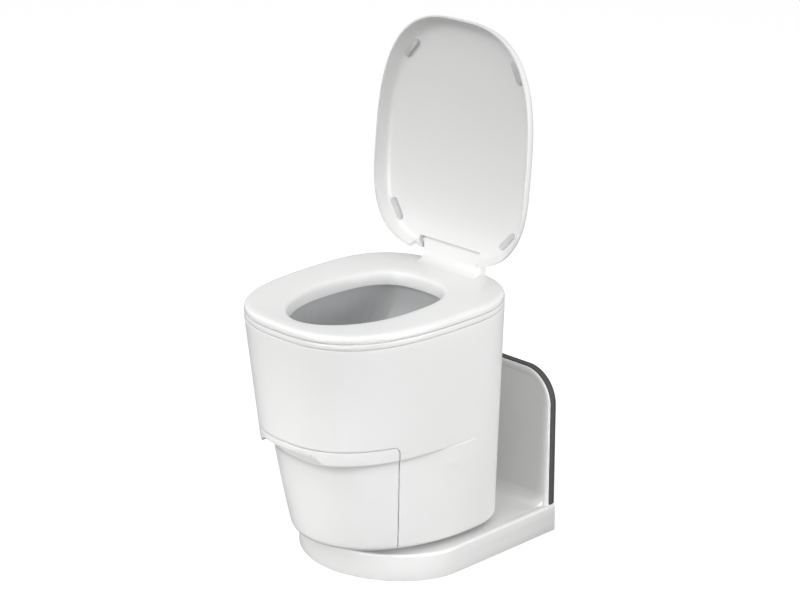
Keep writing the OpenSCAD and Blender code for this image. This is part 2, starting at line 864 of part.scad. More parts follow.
module plate_outline() {
    polygon([
        [-plate_front, jaw_z - 4], [-plate_front + 20, rail_z + rail_t], [film_y - 24, rail_z + rail_t],
        [film_y - 24, plate_foot], [film_y + 24, plate_foot], [film_y + 24, rail_z + rail_t],
        [plate_rear, rail_z + rail_t], [plate_rear, plate_top - 26], [shaft_y + 24, plate_top],
        [shaft_y - 20, plate_top], [film_y - 40, jaw_z + jaw_h + 6], [-plate_front, jaw_z + jaw_h + 2]
    ]);
}
module sealer_frame() {
    x = plate_gap / 2;
    color(steel) difference() {
        union() {
            both_sides() {
                translate([x + plate_t, 0, 0]) rotate([90, 0, -90]) mirror([1, 0, 0])
                    linear_extrude(plate_t) plate_outline();
                for (y = [[-98, film_y - 26], [film_y + 26, plate_rear]])
                    box(
                        x + plate_t - eps, posts[0][0] - post_w / 2 - slip,
                        y[0], y[1],
                        rail_z + rail_t, rail_z + rail_t + 4
                    );
            }
            box(-x - eps, x + eps, -plate_front, -plate_front + 6, jaw_z, jaw_z + 24);
            box(-x - eps, x + eps, plate_rear - 6, plate_rear, jaw_z, jaw_z + 24);
        }
        both_sides() rod_y(rod_d, -plate_front - 1, plate_rear + 1, rod_x, rod_z);
        rod_x(shaft_d + 2 * fit, -x - 9, x + 9, shaft_y, shaft_z);
        for (q = [-1, 1])
            rod_x(journal_d + 2 * fit, -x - 9, x + 9, film_y + q * (roller_r), roller_z);
    }
}

module fixed_jaw() {
    x = plate_gap / 2 - slip;
    color(grey) difference() {
        box(-x, x, jaw_face_y, jaw_face_y + beam_t, jaw_z, jaw_z + jaw_h);
        both_sides() {
            rod_y(rod_d, jaw_face_y - 1, jaw_face_y + beam_t + 1, rod_x, rod_z);
            box(rack_x - rack_w / 2 - 1, x + 1, jaw_face_y - 1, jaw_face_y + beam_t + 1, rack_z - 1, jaw_z + jaw_h + 1);
        }
        box(
            -strip_l / 2, strip_l / 2, jaw_face_y - 1, jaw_face_y + strip_t - 0.6,
            jaw_z + jaw_h / 2 - strip_h / 2, jaw_z + jaw_h / 2 + strip_h / 2
        );
    }
}

module heater_bar() {
    color(steel) box(
        -strip_l / 2 + fit, strip_l / 2 - fit, jaw_face_y - 0.6, jaw_face_y + strip_t - 0.6,
        jaw_z + jaw_h / 2 - strip_h / 2 + fit, jaw_z + jaw_h / 2 + strip_h / 2 - fit
    );
}

module guide_rods() {
    color(steel) both_sides() rod_y(rod_d, -plate_front, plate_rear, rod_x, rod_z);
}

// The moving jaw rests open, a full travel in front of the heater bar
function pad_face() = jaw_face_y - 0.6 - slip - jaw_travel;

module moving_jaw() {
    x = plate_gap / 2 - 1;
    back = pad_face() - pad_t + 1;
    color(grey) difference() {
        box(-x, x, back - beam_t, back, jaw_z, jaw_z + jaw_h);
        both_sides() rod_y(rod_d + 2 * fit, back - beam_t - 1, back + 1, rod_x, rod_z);
        box(
            -strip_l / 2, strip_l / 2, back - 1, back + 1,
            jaw_z + jaw_h / 2 - strip_h, jaw_z + jaw_h / 2 + strip_h
        );
        for (i = [-2:2])
            box(i * 38 - 15, i * 38 + 15, back - beam_t - 1, back - 4, jaw_z + 4, jaw_z + jaw_h - 4);
    }
}

module jaw_pad() {
    color([0.55, 0.2, 0.15]) box(
        -strip_l / 2 + fit, strip_l / 2 - fit, pad_face() - pad_t, pad_face(),
        jaw_z + jaw_h / 2 - strip_h + fit, jaw_z + jaw_h / 2 + strip_h - fit
    );
}

module rack_profile(y1, y2) {
    pitch = PI * gear_m;
    top = rack_h + 0.9 * gear_m;
    root = rack_h - 1.2 * gear_m;
    lean = tan(pressure);
    first = ceil((y1 - shaft_y + pitch) / pitch);
    last = floor((y2 - shaft_y - pitch / 2) / pitch);
    half = pitch / 4 - backlash / 4;
    polygon(concat(
        [[y1, 0], [y1, root]],
        [for (i = [first:last]) let (c = shaft_y + (i + 0.5) * pitch - pitch) each [
            [c - half - 1.2 * gear_m * lean, root],
            [c - half + 0.9 * gear_m * lean, top],
            [c + half - 0.9 * gear_m * lean, top],
            [c + half + 1.2 * gear_m * lean, root]
        ]],
        [[y2, root], [y2, 0]]
    ));
}
module jaw_racks() {
    y1 = pad_face() - pad_t + 1;
    y2 = shaft_y + 13;
    color(steel) for (x = [-rack_x, rack_x])
        translate([x - rack_w / 2, 0, rack_z]) rotate([90, 0, 90]) linear_extrude(rack_w) rack_profile(y1, y2);
}

module pinion_shaft() {
    x = plate_gap / 2 + plate_t;
    color(steel) rod_x(shaft_d, -x - 3, x + 3, shaft_y, shaft_z);
}
module pinions() {
    color(steel) for (x = [-rack_x, rack_x])
        gear_x(gear_m, pinion_teeth, rack_w - 1, shaft_d, 270, x - rack_w / 2 + 0.5, shaft_y, shaft_z);
}
module drive_gear() {
    color(grey) gear_x(gear_m, drive_teeth, gear_w, shaft_d, 0, drive_x, shaft_y, shaft_z);
}
module motor_gear() {
    turn = 180 + 180 / motor_teeth;
    color(steel) {
        gear_x(gear_m, motor_teeth, gear_w, 5, turn, drive_x, motor_y, shaft_z);
        rod_x(5, drive_x - 16, drive_x + gear_w, motor_y, shaft_z);
    }
}
module motor_bracket() {
    x = drive_x - 8;
    shelf = shaft_z - jaw_motor_d / 2 - 4;
    color(steel) difference() {
        union() {
            box(x, x + 3, motor_y - 20, motor_y + 20, shelf - 3, shaft_z + 20);
            box(x - 30, x + 3, motor_y - 6, plate_rear - 6, shelf - 3, shelf);
            box(x - 30, x + 3, plate_rear - 9, plate_rear - 6, shelf - 14, shelf + 5);
        }
        rod_x(14, x - 1, x + 4, motor_y, shaft_z);
    }
}
module jaw_motor() {
    x = drive_x - 8;
    color(dark) difference() {
        union() {
            rod_x(jaw_motor_d, x - jaw_motor_l, x, motor_y, shaft_z);
            rod_x(14, x - eps, x + 3, motor_y, shaft_z);
        }
        rod_x(5.6, x - 10, x + 4, motor_y, shaft_z);
    }
}

module roller(y) {
    x = plate_gap / 2;
    color(dark) rod_x(2 * roller_r - roller_gap, -slot_w / 2 - 6, slot_w / 2 + 6, y, roller_z);
    color(steel) rod_x(journal_d, -x - plate_t - 8, x + plate_t + 3, y, roller_z);
}
module feed_roller() { roller(film_y + roller_r); }
module pinch_roller() { roller(film_y - roller_r); }
module feed_gear() {
    color(grey) gear_x(roller_m, roller_teeth, 5, journal_d, 180, -plate_gap / 2 - plate_t - 6, film_y + roller_r, roller_z);
}
module pinch_gear() {
    color(grey)
        gear_x(roller_m, roller_teeth, 5, journal_d, 180 / roller_teeth, -plate_gap / 2 - plate_t - 6, film_y - roller_r, roller_z);
}
module feed_motor() {
    x = plate_gap / 2 + plate_t;
    color(dark) difference() {
        rod_x(feed_motor_d, x + slip, x + feed_motor_l, film_y + roller_r, roller_z);
        rod_x(journal_d + 2 * fit, x - 1, x + 5, film_y + roller_r, roller_z);
    }
}

module control_board() {
    z = 300;
    y = 158;
    color(board) box(-55, 55, y, y + 1.6, z, z + 84);
    color(dark) {
        box(-46, -22, y - 9, y, z + 58, z + 76);
        box(-6, 12, y - 3, y, z + 40, z + 58);
        box(24, 48, y - 12, y, z + 10, z + 22);
        box(-46, -30, y - 12, y, z + 10, z + 22);
    }
    color(steel) for (x = [-8, 8]) translate([x, y, z + 18]) rotate([90, 0, 0]) cylinder(d = 10, h = 16, $fn = 32);
}
module board_posts() {
    color(steel) both_sides() for (z = [304, 380]) {
        rod_y(6, 159.6, rear_face(50, z) - wall - 0.9, 50, z);
    }
}

module bin_runners() {
    color(grey) both_sides() {
        box(bin_w / 2 - 24, bin_w / 2 - 4, portal_y, 66, pan_z + pan_t, bin_z - slip);
    }
}

function bin_ring(inset, z) =
    oval([bin_w / 2 - inset, bin_front - inset, bin_l - bin_front - inset, 2.2, 7, 0, z], small_points);
module waste_bin() {
    top = bin_z + bin_h;
    color(dark) loft([
        bin_ring(9, bin_z), bin_ring(6, bin_z + 3), bin_ring(3, top - 6), bin_ring(3, top - 5), bin_ring(0, top - 5),
        bin_ring(0, top - 2), bin_ring(3 + bin_wall, top - 2), bin_ring(8.5, bin_z + 4), bin_ring(11, bin_z + bin_wall)
    ]);
}
module bin_bag() {
    top = bin_z + bin_h;
    color(film) loft([
        bin_ring(11.6, bin_z + bin_wall + slip), bin_ring(9.4, bin_z + 6), bin_ring(3.6 + bin_wall, top - 2),
        bin_ring(3.4 + bin_wall, top - 1.7), bin_ring(1, top - 1.7), bin_ring(1, top - 0.8), bin_ring(4.4 + bin_wall, top - 0.8),
        bin_ring(10.4, bin_z + 7), bin_ring(12.6, bin_z + bin_wall + 1.3)
    ]);
}
module bin_handle() {
    top = bin_z + bin_h - 5;
    color(grey) difference() {
        box(-46, 46, -bin_front + 2, -bin_front + 12, top - 22, top - slip);
        box(-38, 38, -bin_front - 1, -bin_front + 20, top - 16, top - 6);
        translate([0, 0, top - 30]) linear_extrude(40) offset(delta = slip) polygon(flat(bin_ring(3, 0)));
    }
}

function button_face() = -side_face(button_y, button_z) - 0.5;
module button_bezel() {
    x = button_face();
    color(grey) difference() {
        rod_x(button_d + 5.4, x, x + 16, button_y, button_z);
        rod_x(button_d + 1, x - 1, x + 17, button_y, button_z);
    }
}
module start_button() {
    x = button_face();
    color(white) {
        rod_x(button_d, x + 1, x + 7, button_y, button_z);
        rod_x(6, x + 7 - eps, x + 13, button_y, button_z);
    }
}
module button_switch() {
    x = button_face();
    color(dark) difference() {
        union() {
            rod_x(button_d + 0.8, x + 13 + button_travel + slip, x + 26, button_y, button_z);
        }
        rod_x(4, x + 24, x + 27, button_y, button_z);
    }
}

// Seat and lid

function seat_ring(inset, z) =
    oval([body_w / 2 - inset, body_front - inset, body_rear - inset, n_top, n_rear, mid_top, z]);
function seat_rings() = [
    seat_ring(1, seat_z),
    seat_ring(0, seat_z + 2),
    seat_ring(0.6, seat_top - 6),
    seat_ring(2.6, seat_top - 2.4),
    seat_ring(6, seat_top - 0.5),
    seat_ring(11, seat_top),
    blend(seat_ring(11, 0), hole_ring(6, 0, ring_points), 0.5, seat_top - seat_dish * 0.35),
    hole_ring(6, seat_top - seat_dish, ring_points),
    hole_ring(2.4, seat_top - seat_dish - 1.4, ring_points),
    hole_ring(0.4, seat_top - seat_dish - 5, ring_points),
    hole_ring(-2, seat_top - lip_depth + 1.5, ring_points),
    hole_ring(-1, seat_top - lip_depth, ring_points),
    hole_ring(1, seat_top - lip_depth, ring_points),
    hole_ring(2.6, seat_z + 3, ring_points),
    seat_ring(9, seat_z + 4),
    seat_ring(7, seat_z)
];
module block_profile() {
    nose = 9;
    top = lid_pin_z + 6.5;
    polygon(concat(
        [[block_front - 24, seat_top - 3], [block_front - 24, seat_top - 0.4]],
        [for (i = [1:6]) let (t = 90 * i / 6) [block_front - 24 + 20 * sin(t), seat_top + 16 * (1 - cos(t))]],
        [[block_front, seat_top + 24]],
        [for (i = [0:5]) let (t = 90 * i / 5) [block_front + nose - nose * cos(t), top - nose + nose * sin(t)]],
        [for (i = [0:6]) let (t = 90 * i / 6) [lid_pin_y + barrel_r * sin(t), lid_pin_z + barrel_r * cos(t)]],
        [[lid_pin_y + barrel_r, seat_z + 2]],
        [[block_front + 6, seat_z + 2]]
    ));
}
module seat() {
    x1 = knuckle_x;
    x2 = knuckle_x + knuckle_w;
    color(white) difference() {
        union() {
            shell(seat_rings());
            translate([-block_w / 2, 0, 0]) rotate([90, 0, 90]) linear_extrude(block_w) block_profile();
            knuckle(x1, x2, knuckle_r);
        }
        knuckle(x1 - ear_w - slip, x1, knuckle_r + 0.6);
        knuckle(x2, x2 + ear_w + slip, knuckle_r + 0.6);
        both_sides() rod_x(seat_pin_d + 2 * fit, x1 - 1, x2 + 1, seat_hinge_y, seat_hinge_z);
        rod_x(lid_pin_d + 2 * fit, -block_w, block_w, lid_pin_y, lid_pin_z);
    }
}
module seat_buffers() {
    spots = seat_ring(4, seat_z - band_gap + slip);
    color(grey) for (i = [6, 26, 41, 55])
        translate(spots[i]) cylinder(d = 5, h = band_gap - slip, $fn = 24);
}

module lid_turn() {
    translate([0, lid_pin_y, lid_pin_z]) rotate([-lid_open, 0, 0]) translate([0, -lid_pin_y, -lid_pin_z]) children();
}
function lid_ring(inset, up) = oval([
    body_w / 2 * lid_share - inset,
    (body_front + mid_top) * lid_share - mid_top - inset,
    mid_top + (body_rear - mid_top) * lid_share - inset,
    n_top, n_rear, mid_top, lid_rim_z + up
]);
function lid_rings() = [
    lid_ring(1, 0), lid_ring(0, 1), lid_ring(0.5, 6), lid_ring(3, 14), lid_ring(8, 22), lid_ring(17, 28.5),
    lid_ring(34, 33.5), lid_ring(70, 36.5), lid_ring(120, lid_depth)
];
function tray_rings() = [
    lid_ring(lid_skin - 0.8, -0.1), lid_ring(lid_skin, 1), lid_ring(7, 8), lid_ring(11, 14), lid_ring(17, 19.5),
    lid_ring(26, 22.8), lid_ring(40, 24.4), lid_ring(90, 25)
];
module lid() {
    ears = block_w / 2 + 12;
    pocket = block_w / 2 + 1.2;
    color(white) lid_turn() difference() {
        union() {
            difference() {
                loft(lid_rings());
                loft(tray_rings());
            }
            hull() {
                for (y = [block_front + 3, lid_pin_y])
                    both_sides() translate([ears - 16, y, lid_pin_z]) sphere(r = 16, $fn = 24);
                box(-ears + 8, ears - 8, 88, 92, lid_rim_z + 28, lid_rim_z + 35.5);
            }
        }
        box(-pocket, pocket, block_front - 4, body_rear + 40, lid_rim_z - 20, lid_pin_z + barrel_r + pocket_gap);
        rod_x(lid_pin_d, -ears + 3, ears - 3, lid_pin_y, lid_pin_z);
    }
}
module lid_bumpers() {
    spots = lid_ring(19, -bumper_reach());
    color(grey) lid_turn() difference() {
        for (i = [7, 25, 39, 57]) {
            a = spots[i];
            b = spots[i + 1];
            translate(a) rotate(atan2(b[1] - a[1], b[0] - a[0])) linear_extrude(bumper_h + 12) {
                for (x = [-10, 10]) translate([x, 0]) circle(d = 13, $fn = 32);
                translate([-10, -6.5]) square([20, 13]);
            }
        }
        difference() {
            translate([0, 0, lid_rim_z + 0.5]) cylinder(r = 400, h = 60, $fn = 48);
            loft(tray_rings());
        }
    }
}
function bumper_reach() = lid_rim_z - seat_top - slip;
module lid_pin() {
    reach = block_w / 2 + 8;
    color(steel) rod_x(lid_pin_d, -reach, reach, lid_pin_y, lid_pin_z);
}

base_stand();
panel_seal();
power_inlet();
slide_ring();
swivel_spindle();
turntable();
spindle_nut();
detent_plunger();
chassis();
rear_casing();
casing_screws();
door_frame();
door_magnets();
top_frame();
frame_screws();
seat_pins();
bowl();
film_cassette();
liner_film();
sealer_frame();
fixed_jaw();
heater_bar();
guide_rods();
motor_bracket();
jaw_motor();
feed_motor();
control_board();
board_posts();
bin_runners();
button_bezel();
button_switch();
front_door();
door_strikers();
waste_bin();
bin_handle();
bin_bag();
seat();
seat_buffers();
lid();
lid_bumpers();
lid_pin();
moving_jaw();
jaw_pad();
jaw_racks();
pinion_shaft();
pinions();
drive_gear();
motor_gear();
feed_roller();
feed_gear();
pinch_roller();
pinch_gear();
start_button();
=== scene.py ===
"""Looks of the bag-sealing toilet: moulded shells, seat, lid, base, soft liners and finishes."""

import json
import logging
import math
from dataclasses import dataclass, field
from enum import Enum
from typing import Dict, List, Optional, Sequence, Tuple

import bmesh
import bpy
import numpy as np
from mathutils import Matrix, Vector


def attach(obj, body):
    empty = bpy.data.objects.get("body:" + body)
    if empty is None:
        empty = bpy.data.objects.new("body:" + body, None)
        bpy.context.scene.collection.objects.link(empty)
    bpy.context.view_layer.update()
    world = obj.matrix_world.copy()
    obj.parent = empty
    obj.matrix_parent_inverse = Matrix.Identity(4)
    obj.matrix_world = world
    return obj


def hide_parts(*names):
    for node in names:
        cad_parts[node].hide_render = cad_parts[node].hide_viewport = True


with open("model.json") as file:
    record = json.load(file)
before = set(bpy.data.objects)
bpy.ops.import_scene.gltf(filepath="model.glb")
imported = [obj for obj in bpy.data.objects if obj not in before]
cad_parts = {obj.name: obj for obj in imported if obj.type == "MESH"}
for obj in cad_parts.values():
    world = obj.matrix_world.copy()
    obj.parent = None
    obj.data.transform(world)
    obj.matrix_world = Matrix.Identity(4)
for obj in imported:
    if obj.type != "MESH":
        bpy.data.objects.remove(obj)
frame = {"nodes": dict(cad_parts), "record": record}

log = logging.getLogger("toilet")

# Outlines are in mm with COLUMNS points each, and meshes in m. WELD is how close doubles lie and
# LEVEL how much a level edge may rise, both in m. Most of a noise lies between its two limits.
MM = 0.001
COLUMNS = 192
WELD = 2e-6
LEVEL = 1e-7
NOISE_LOW = 0.3
NOISE_HIGH = 0.7

# A pile is a run of steps in a section: inset and height, or inset and depth, in mm.
Ring = np.ndarray
Profile = List[Tuple[float, float]]
Pile = Tuple[Tuple[float, float], ...]
Colour = Tuple[float, float, float]
Solid = bpy.types.Object
Socket = bpy.types.NodeSocket
Work = bmesh.types.BMesh
Verts = List[bmesh.types.BMVert]
Edges = List[bmesh.types.BMEdge]


# ---------------------------------------------------------------- outlines


def power(value: np.ndarray, exponent: float) -> np.ndarray:
    """Signed power, which turns a circle's cosine into a squarer outline's."""
    return np.sign(value) * np.abs(value) ** exponent


def mix(a: float, b: float, share: float) -> float:
    """Value that lies at a share of the way from a to b."""
    return a + (b - a) * share


def fall(share: float, n: float) -> float:
    """Part of its reach that a squared outline keeps at a share of its half width."""
    return (1 - share ** n) ** (1 / n)


def sweep(turn: float, steps: int) -> List[float]:
    """Angles in radians from 0 to a turn in degrees, in equal steps."""
    return [math.radians(turn * step / steps) for step in range(steps + 1)]


@dataclass(frozen=True)
class Oval:
    """Closed outline that may be squarer at its back than at its front.

    It has its half width, its reach in front of the swivel axis and behind it, the squareness of
    its front and back halves, where 2 is an ellipse, and the place where it is widest.
    """

    half: float
    front: float
    back: float
    n_front: float
    n_back: float
    mid: float

    def ring(self, grow: float, z: float) -> Ring:
        """Lays the outline out.

        Args:
            grow: move outwards, in mm, or inwards where it is below 0.
            z: height, in mm.

        Returns:
            Points in mm, one row each.
        """
        turn = np.arange(COLUMNS) * 2 * math.pi / COLUMNS
        cosine, sine = np.cos(turn), np.sin(turn)
        behind = sine >= -1e-12
        exponent = np.where(behind, 2 / self.n_back, 2 / self.n_front)
        reach = np.where(behind, self.back + grow - self.mid, self.mid + (self.front + grow))
        x = (self.half + grow) * power(cosine, exponent)
        y = self.mid + reach * power(sine, exponent)
        return np.stack([x, y, np.full(COLUMNS, z)], axis=1)


def blend(a: Ring, b: Ring, share: float, z: float) -> Ring:
    """Outline between two others.

    Args:
        a: outline at a share of 0.
        b: outline at a share of 1.
        share: how far the new one lies from a to b.
        z: height of the new one, in mm.

    Returns:
        The new outline.
    """
    ring = a + (b - a) * share
    ring[:, 2] = z
    return ring


def smooth_between(rings: Sequence[Ring], steps: int) -> List[Ring]:
    """Adds outlines on smooth curves through the given ones.

    Args:
        rings: outlines with the same number of points.
        steps: outlines for each space between two of them.

    Returns:
        The given outlines with the new ones between them.
    """
    moves = [float(np.linalg.norm(b - a, axis=1).mean()) for a, b in zip(rings, rings[1:])]
    gaps = [max(1e-6, move) ** 0.5 for move in moves]
    knots = np.concatenate([[0.0], np.cumsum(gaps)])
    padded = [2 * rings[0] - rings[1], *rings, 2 * rings[-1] - rings[-2]]
    times = np.concatenate([[knots[0] - gaps[0]], knots, [knots[-1] + gaps[-1]]])
    found = []
    for k in range(len(rings) - 1):
        p = padded[k:k + 4]
        t = times[k:k + 4]
        for step in range(steps):
            now = t[1] + (t[2] - t[1]) * step / steps
            a = [
                (p[i] * (t[i + 1] - now) + p[i + 1] * (now - t[i])) / (t[i + 1] - t[i])
                for i in range(3)
            ]
            b = [
                (a[i] * (t[i + 2] - now) + a[i + 1] * (now - t[i])) / (t[i + 2] - t[i])
                for i in range(2)
            ]
            found.append((b[0] * (t[2] - now) + b[1] * (now - t[1])) / (t[2] - t[1]))
    return found + [rings[-1]]


def in_folds(
    ring: Ring, centre_y: float, waves: Sequence[Tuple[float, int, float]], depth: float,
    swell: float,
) -> Ring:
    """Moves an outline inwards in soft vertical folds.

    Args:
        ring: outline of a film.
        centre_y: where the folds point to, in mm.
        waves: size, count and shift of each wave round the outline.
        depth: depth of the folds, in mm.
        swell: part of that depth at this height.

    Returns:
        The folded outline.
    """
    turn = np.arange(len(ring)) * 2 * math.pi / len(ring)
    wave = np.full(len(ring), 0.5)
    for size, count, shift in waves:
        wave = wave + size * np.sin(turn * count + shift)
    inward = np.array([0.0, centre_y, 0.0]) - ring
    inward[:, 2] = 0
    inward /= np.maximum(np.linalg.norm(inward, axis=1), 1)[:, None]
    return ring + inward * (wave * depth * swell)[:, None]


# ---------------------------------------------------------------- mesh tools


def lay(verts: Verts, ring: Ring) -> None:
    """Puts vertices on the points of an outline.

    Args:
        verts: vertices in order.
        ring: as many points, in mm.
    """
    for vert, point in zip(verts, ring):
        vert.co = Vector(point) * MM


def add_ring(bm: Work, ring: Ring) -> Verts:
    """Adds a closed loop of edges.

    Args:
        bm: mesh in work.
        ring: outline of the loop, in mm.

    Returns:
        The loop's vertices in order.
    """
    count = len(ring)
    loop = bmesh.ops.create_circle(bm, cap_ends=False, radius=1.0, segments=count)["verts"]
    lay(loop, ring)
    return loop


def loop_edges(verts: Verts) -> Edges:
    """Finds the edges that join neighbours of a closed loop.

    Args:
        verts: vertices of the loop.

    Returns:
        Its edges, in the order of the vertices.
    """
    members = set(verts)
    found = [edge for vert in verts for edge in vert.link_edges if edge.other_vert(vert) in members]
    return list(dict.fromkeys(found))


def next_ring(bm: Work, verts: Verts, edges: Edges, ring: Ring) -> Tuple[Verts, Edges]:
    """Extrudes a loop of edges to the next outline.

    Args:
        bm: mesh in work.
        verts: vertices of the last loop, in order.
        edges: edges of the last loop.
        ring: outline of the next loop, in mm.

    Returns:
        Vertices and edges of the new loop.
    """
    made = bmesh.ops.extrude_edge_only(bm, edges=list(edges))["geom"]
    fresh = {item for item in made if isinstance(item, bmesh.types.BMVert)}
    fresh_edges = [
        item for item in made
        if isinstance(item, bmesh.types.BMEdge) and all(vert in fresh for vert in item.verts)
    ]
    above = [next(e.other_vert(v) for e in v.link_edges if e.other_vert(v) in fresh) for v in verts]
    lay(above, ring)
    return above, fresh_edges


def tidy(bm: Work) -> None:
    """Merges doubles and turns all faces outwards."""
    bmesh.ops.remove_doubles(bm, verts=bm.verts[:], dist=WELD)
    bmesh.ops.recalc_face_normals(bm, faces=bm.faces[:])


def to_object(bm: Work, name: str) -> Solid:
    """Turns a mesh in work into a linked object at the origin.

    Args:
        bm: mesh in work, which is freed.
        name: name of the object.

    Returns:
        The object.
    """
    mesh = bpy.data.meshes.new(name)
    bm.to_mesh(mesh)
    bm.free()
    piece = bpy.data.objects.new(name, mesh)
    bpy.context.scene.collection.objects.link(piece)
    return piece


def loft(name: str, rings: Sequence[Ring], closed: bool = False) -> Solid:
    """Skins a pile of outlines.

    Args:
        name: name of the new object.
        rings: outlines with the same number of points, in mm.
        closed: whether the last outline joins the first, as in a wall with two faces.

    Returns:
        A closed solid.
    """
    bm = bmesh.new()
    verts = add_ring(bm, rings[0])
    start = edges = loop_edges(verts)
    for ring in rings[1:]:
        verts, edges = next_ring(bm, verts, edges, ring)
    if closed:
        bmesh.ops.bridge_loops(bm, edges=list(start) + list(edges))
    else:
        bmesh.ops.edgeloop_fill(bm, edges=list(start))
        bmesh.ops.edgeloop_fill(bm, edges=list(edges))
    tidy(bm)
    return to_object(bm, name)


def round_rims(bm: Work, width: float, clamp: bool = False) -> None:
    """Rounds the level edges of a bar or block that stands upright.

    Args:
        bm: mesh in work.
        width: width of the rounding, in mm, or 0 for none.
        clamp: whether roundings stop where they meet.
    """
    if width <= 0:
        return
    rims = [edge for edge in bm.edges if abs(edge.verts[0].co.z - edge.verts[1].co.z) < LEVEL]
    bmesh.ops.bevel(
        bm, geom=rims, affect="EDGES", offset=width * MM, segments=3, profile=0.5, material=-1,
        clamp_overlap=clamp,
    )


def prism(
    name: str, points: Profile, low: float, high: float, place: Matrix, radius: float = 0.0,
    edge: float = 0.0, segments: int = 6,
) -> Solid:
    """Extrudes a polygon and puts it in place.

    Args:
        name: name of the new object.
        points: corners of the polygon in its own X and Y, in mm.
        low: where it starts along its own Z, in mm.
        high: where it ends.
        place: turn and shift that put it in the part.
        radius: rounding of the polygon's corners.
        edge: rounding of the long rims at both ends.
        segments: faces round each corner.

    Returns:
        A closed solid.
    """
    bm = bmesh.new()
    face = bm.faces.new([bm.verts.new((x * MM, y * MM, 0.0)) for x, y in points])
    if radius > 0:
        bmesh.ops.bevel(
            bm, geom=face.verts[:], affect="VERTICES", offset=radius * MM, segments=segments,
            profile=0.5, material=-1, clamp_overlap=True,
        )
    bmesh.ops.translate(bm, verts=bm.verts[:], vec=(0, 0, low * MM))
    made = bmesh.ops.extrude_face_region(bm, geom=bm.faces[:])["geom"]
    top = [item for item in made if isinstance(item, bmesh.types.BMVert)]
    bmesh.ops.translate(bm, verts=top, vec=(0, 0, (high - low) * MM))
    bmesh.ops.recalc_face_normals(bm, faces=bm.faces[:])
    round_rims(bm, edge, clamp=True)
    bmesh.ops.transform(bm, matrix=place, verts=bm.verts[:])
    tidy(bm)
    return to_object(bm, name)


UPRIGHT = Matrix.Rotation(math.radians(90), 4, "X")
ALONG_X = Matrix(((0, 0, 1, 0), (1, 0, 0, 0), (0, 1, 0, 0), (0, 0, 0, 1)))


def block(name: str, low: Sequence[float], high: Sequence[float]) -> Solid:
    """Block between two corners.

    Args:
        name: name of the new object.
        low: its lowest corner, in mm.
        high: its highest corner, in mm.

    Returns:
        A closed solid.
    """
    bm = bmesh.new()
    bmesh.ops.create_cube(bm, size=1.0)
    bmesh.ops.scale(bm, verts=bm.verts[:], vec=[(b - a) * MM for a, b in zip(low, high)])
    bmesh.ops.translate(bm, verts=bm.verts[:], vec=[(a + b) / 2 * MM for a, b in zip(low, high)])
    return to_object(bm, name)


def rod(
    name: str, diameter: float, start: Sequence[float], end: Sequence[float], edge: float = 0.0,
    segments: int = 48,
) -> Solid:
    """Round bar between two points.

    Args:
        name: name of the new object.
        diameter: its diameter, in mm.
        start: middle of its first end, in mm.
        end: middle of its other end, in mm.
        edge: rounding of the rims, in mm.
        segments: faces round it.

    Returns:
        A closed solid.
    """
    a, b = Vector(start) * MM, Vector(end) * MM
    along = b - a
    radius = diameter / 2 * MM
    bm = bmesh.new()
    bmesh.ops.create_cone(
        bm, cap_ends=True, segments=segments, radius1=radius, radius2=radius, depth=along.length
    )
    round_rims(bm, edge)
    turn = along.to_track_quat("Z", "Y").to_matrix().to_4x4()
    bmesh.ops.transform(bm, matrix=Matrix.Translation((a + b) / 2) @ turn, verts=bm.verts[:])
    tidy(bm)
    return to_object(bm, name)


class Cut(Enum):
    """What a boolean does with its tool."""

    AWAY = "DIFFERENCE"
    KEEP = "INTERSECT"
    ADD = "UNION"


def bake(piece: Solid) -> None:
    """Turns a piece's modifiers into its mesh.

    Args:
        piece: mesh object.
    """
    graph = bpy.context.evaluated_depsgraph_get()
    mesh = bpy.data.meshes.new_from_object(piece.evaluated_get(graph))
    piece.modifiers.clear()
    old = piece.data
    piece.data = mesh
    bpy.data.meshes.remove(old)


def carve(piece: Solid, tool: Solid, cut: Cut) -> Solid:
    """Cuts, trims or joins a piece with a tool, which is used up.

    Args:
        piece: closed mesh object.
        tool: closed mesh object that is removed afterwards.
        cut: what is done with the tool.

    Returns:
        The same piece.
    """
    change = piece.modifiers.new("cut", "BOOLEAN")
    change.operation = cut.value
    change.solver = "MANIFOLD"
    change.object = tool
    bpy.context.view_layer.update()
    bake(piece)
    bpy.data.objects.remove(tool, do_unlink=True)
    return piece


def soften(piece: Solid, width: float, angle: float) -> None:
    """Adds a narrow bevel on hard edges.

    Args:
        piece: mesh object.
        width: width of the bevel, in mm.
        angle: edges that turn more than this, in degrees, are hard.
    """
    rim = piece.modifiers.new("soft_edges", "BEVEL")
    rim.width = width * MM
    rim.segments = 2
    rim.limit_method = "ANGLE"
    rim.angle_limit = math.radians(angle)
    rim.harden_normals = True


def polish(piece: Solid, angle: float, bevel: float = 0.0) -> None:
    """Shades a piece smooth, keeps its hard edges and softens them with a narrow bevel.

    Args:
        piece: mesh object.
        angle: edges that turn more than this, in degrees, stay hard.
        bevel: width of the bevel on hard edges, in mm.
    """
    bm = bmesh.new()
    bm.from_mesh(piece.data)
    bmesh.ops.remove_doubles(bm, verts=bm.verts[:], dist=WELD)
    bmesh.ops.dissolve_degenerate(bm, dist=WELD, edges=bm.edges[:])
    for face in bm.faces:
        face.smooth = True
    bm.to_mesh(piece.data)
    bm.free()
    if bevel > 0:
        soften(piece, bevel, angle)
        bake(piece)
    piece.data.set_sharp_from_angle(angle=math.radians(angle))


# ---------------------------------------------------------------- finishes


def shade(colour: Sequence[float], factor: float) -> Colour:
    """Colour made lighter or darker, held below white."""
    return tuple(min(1.0, part * factor) for part in colour)


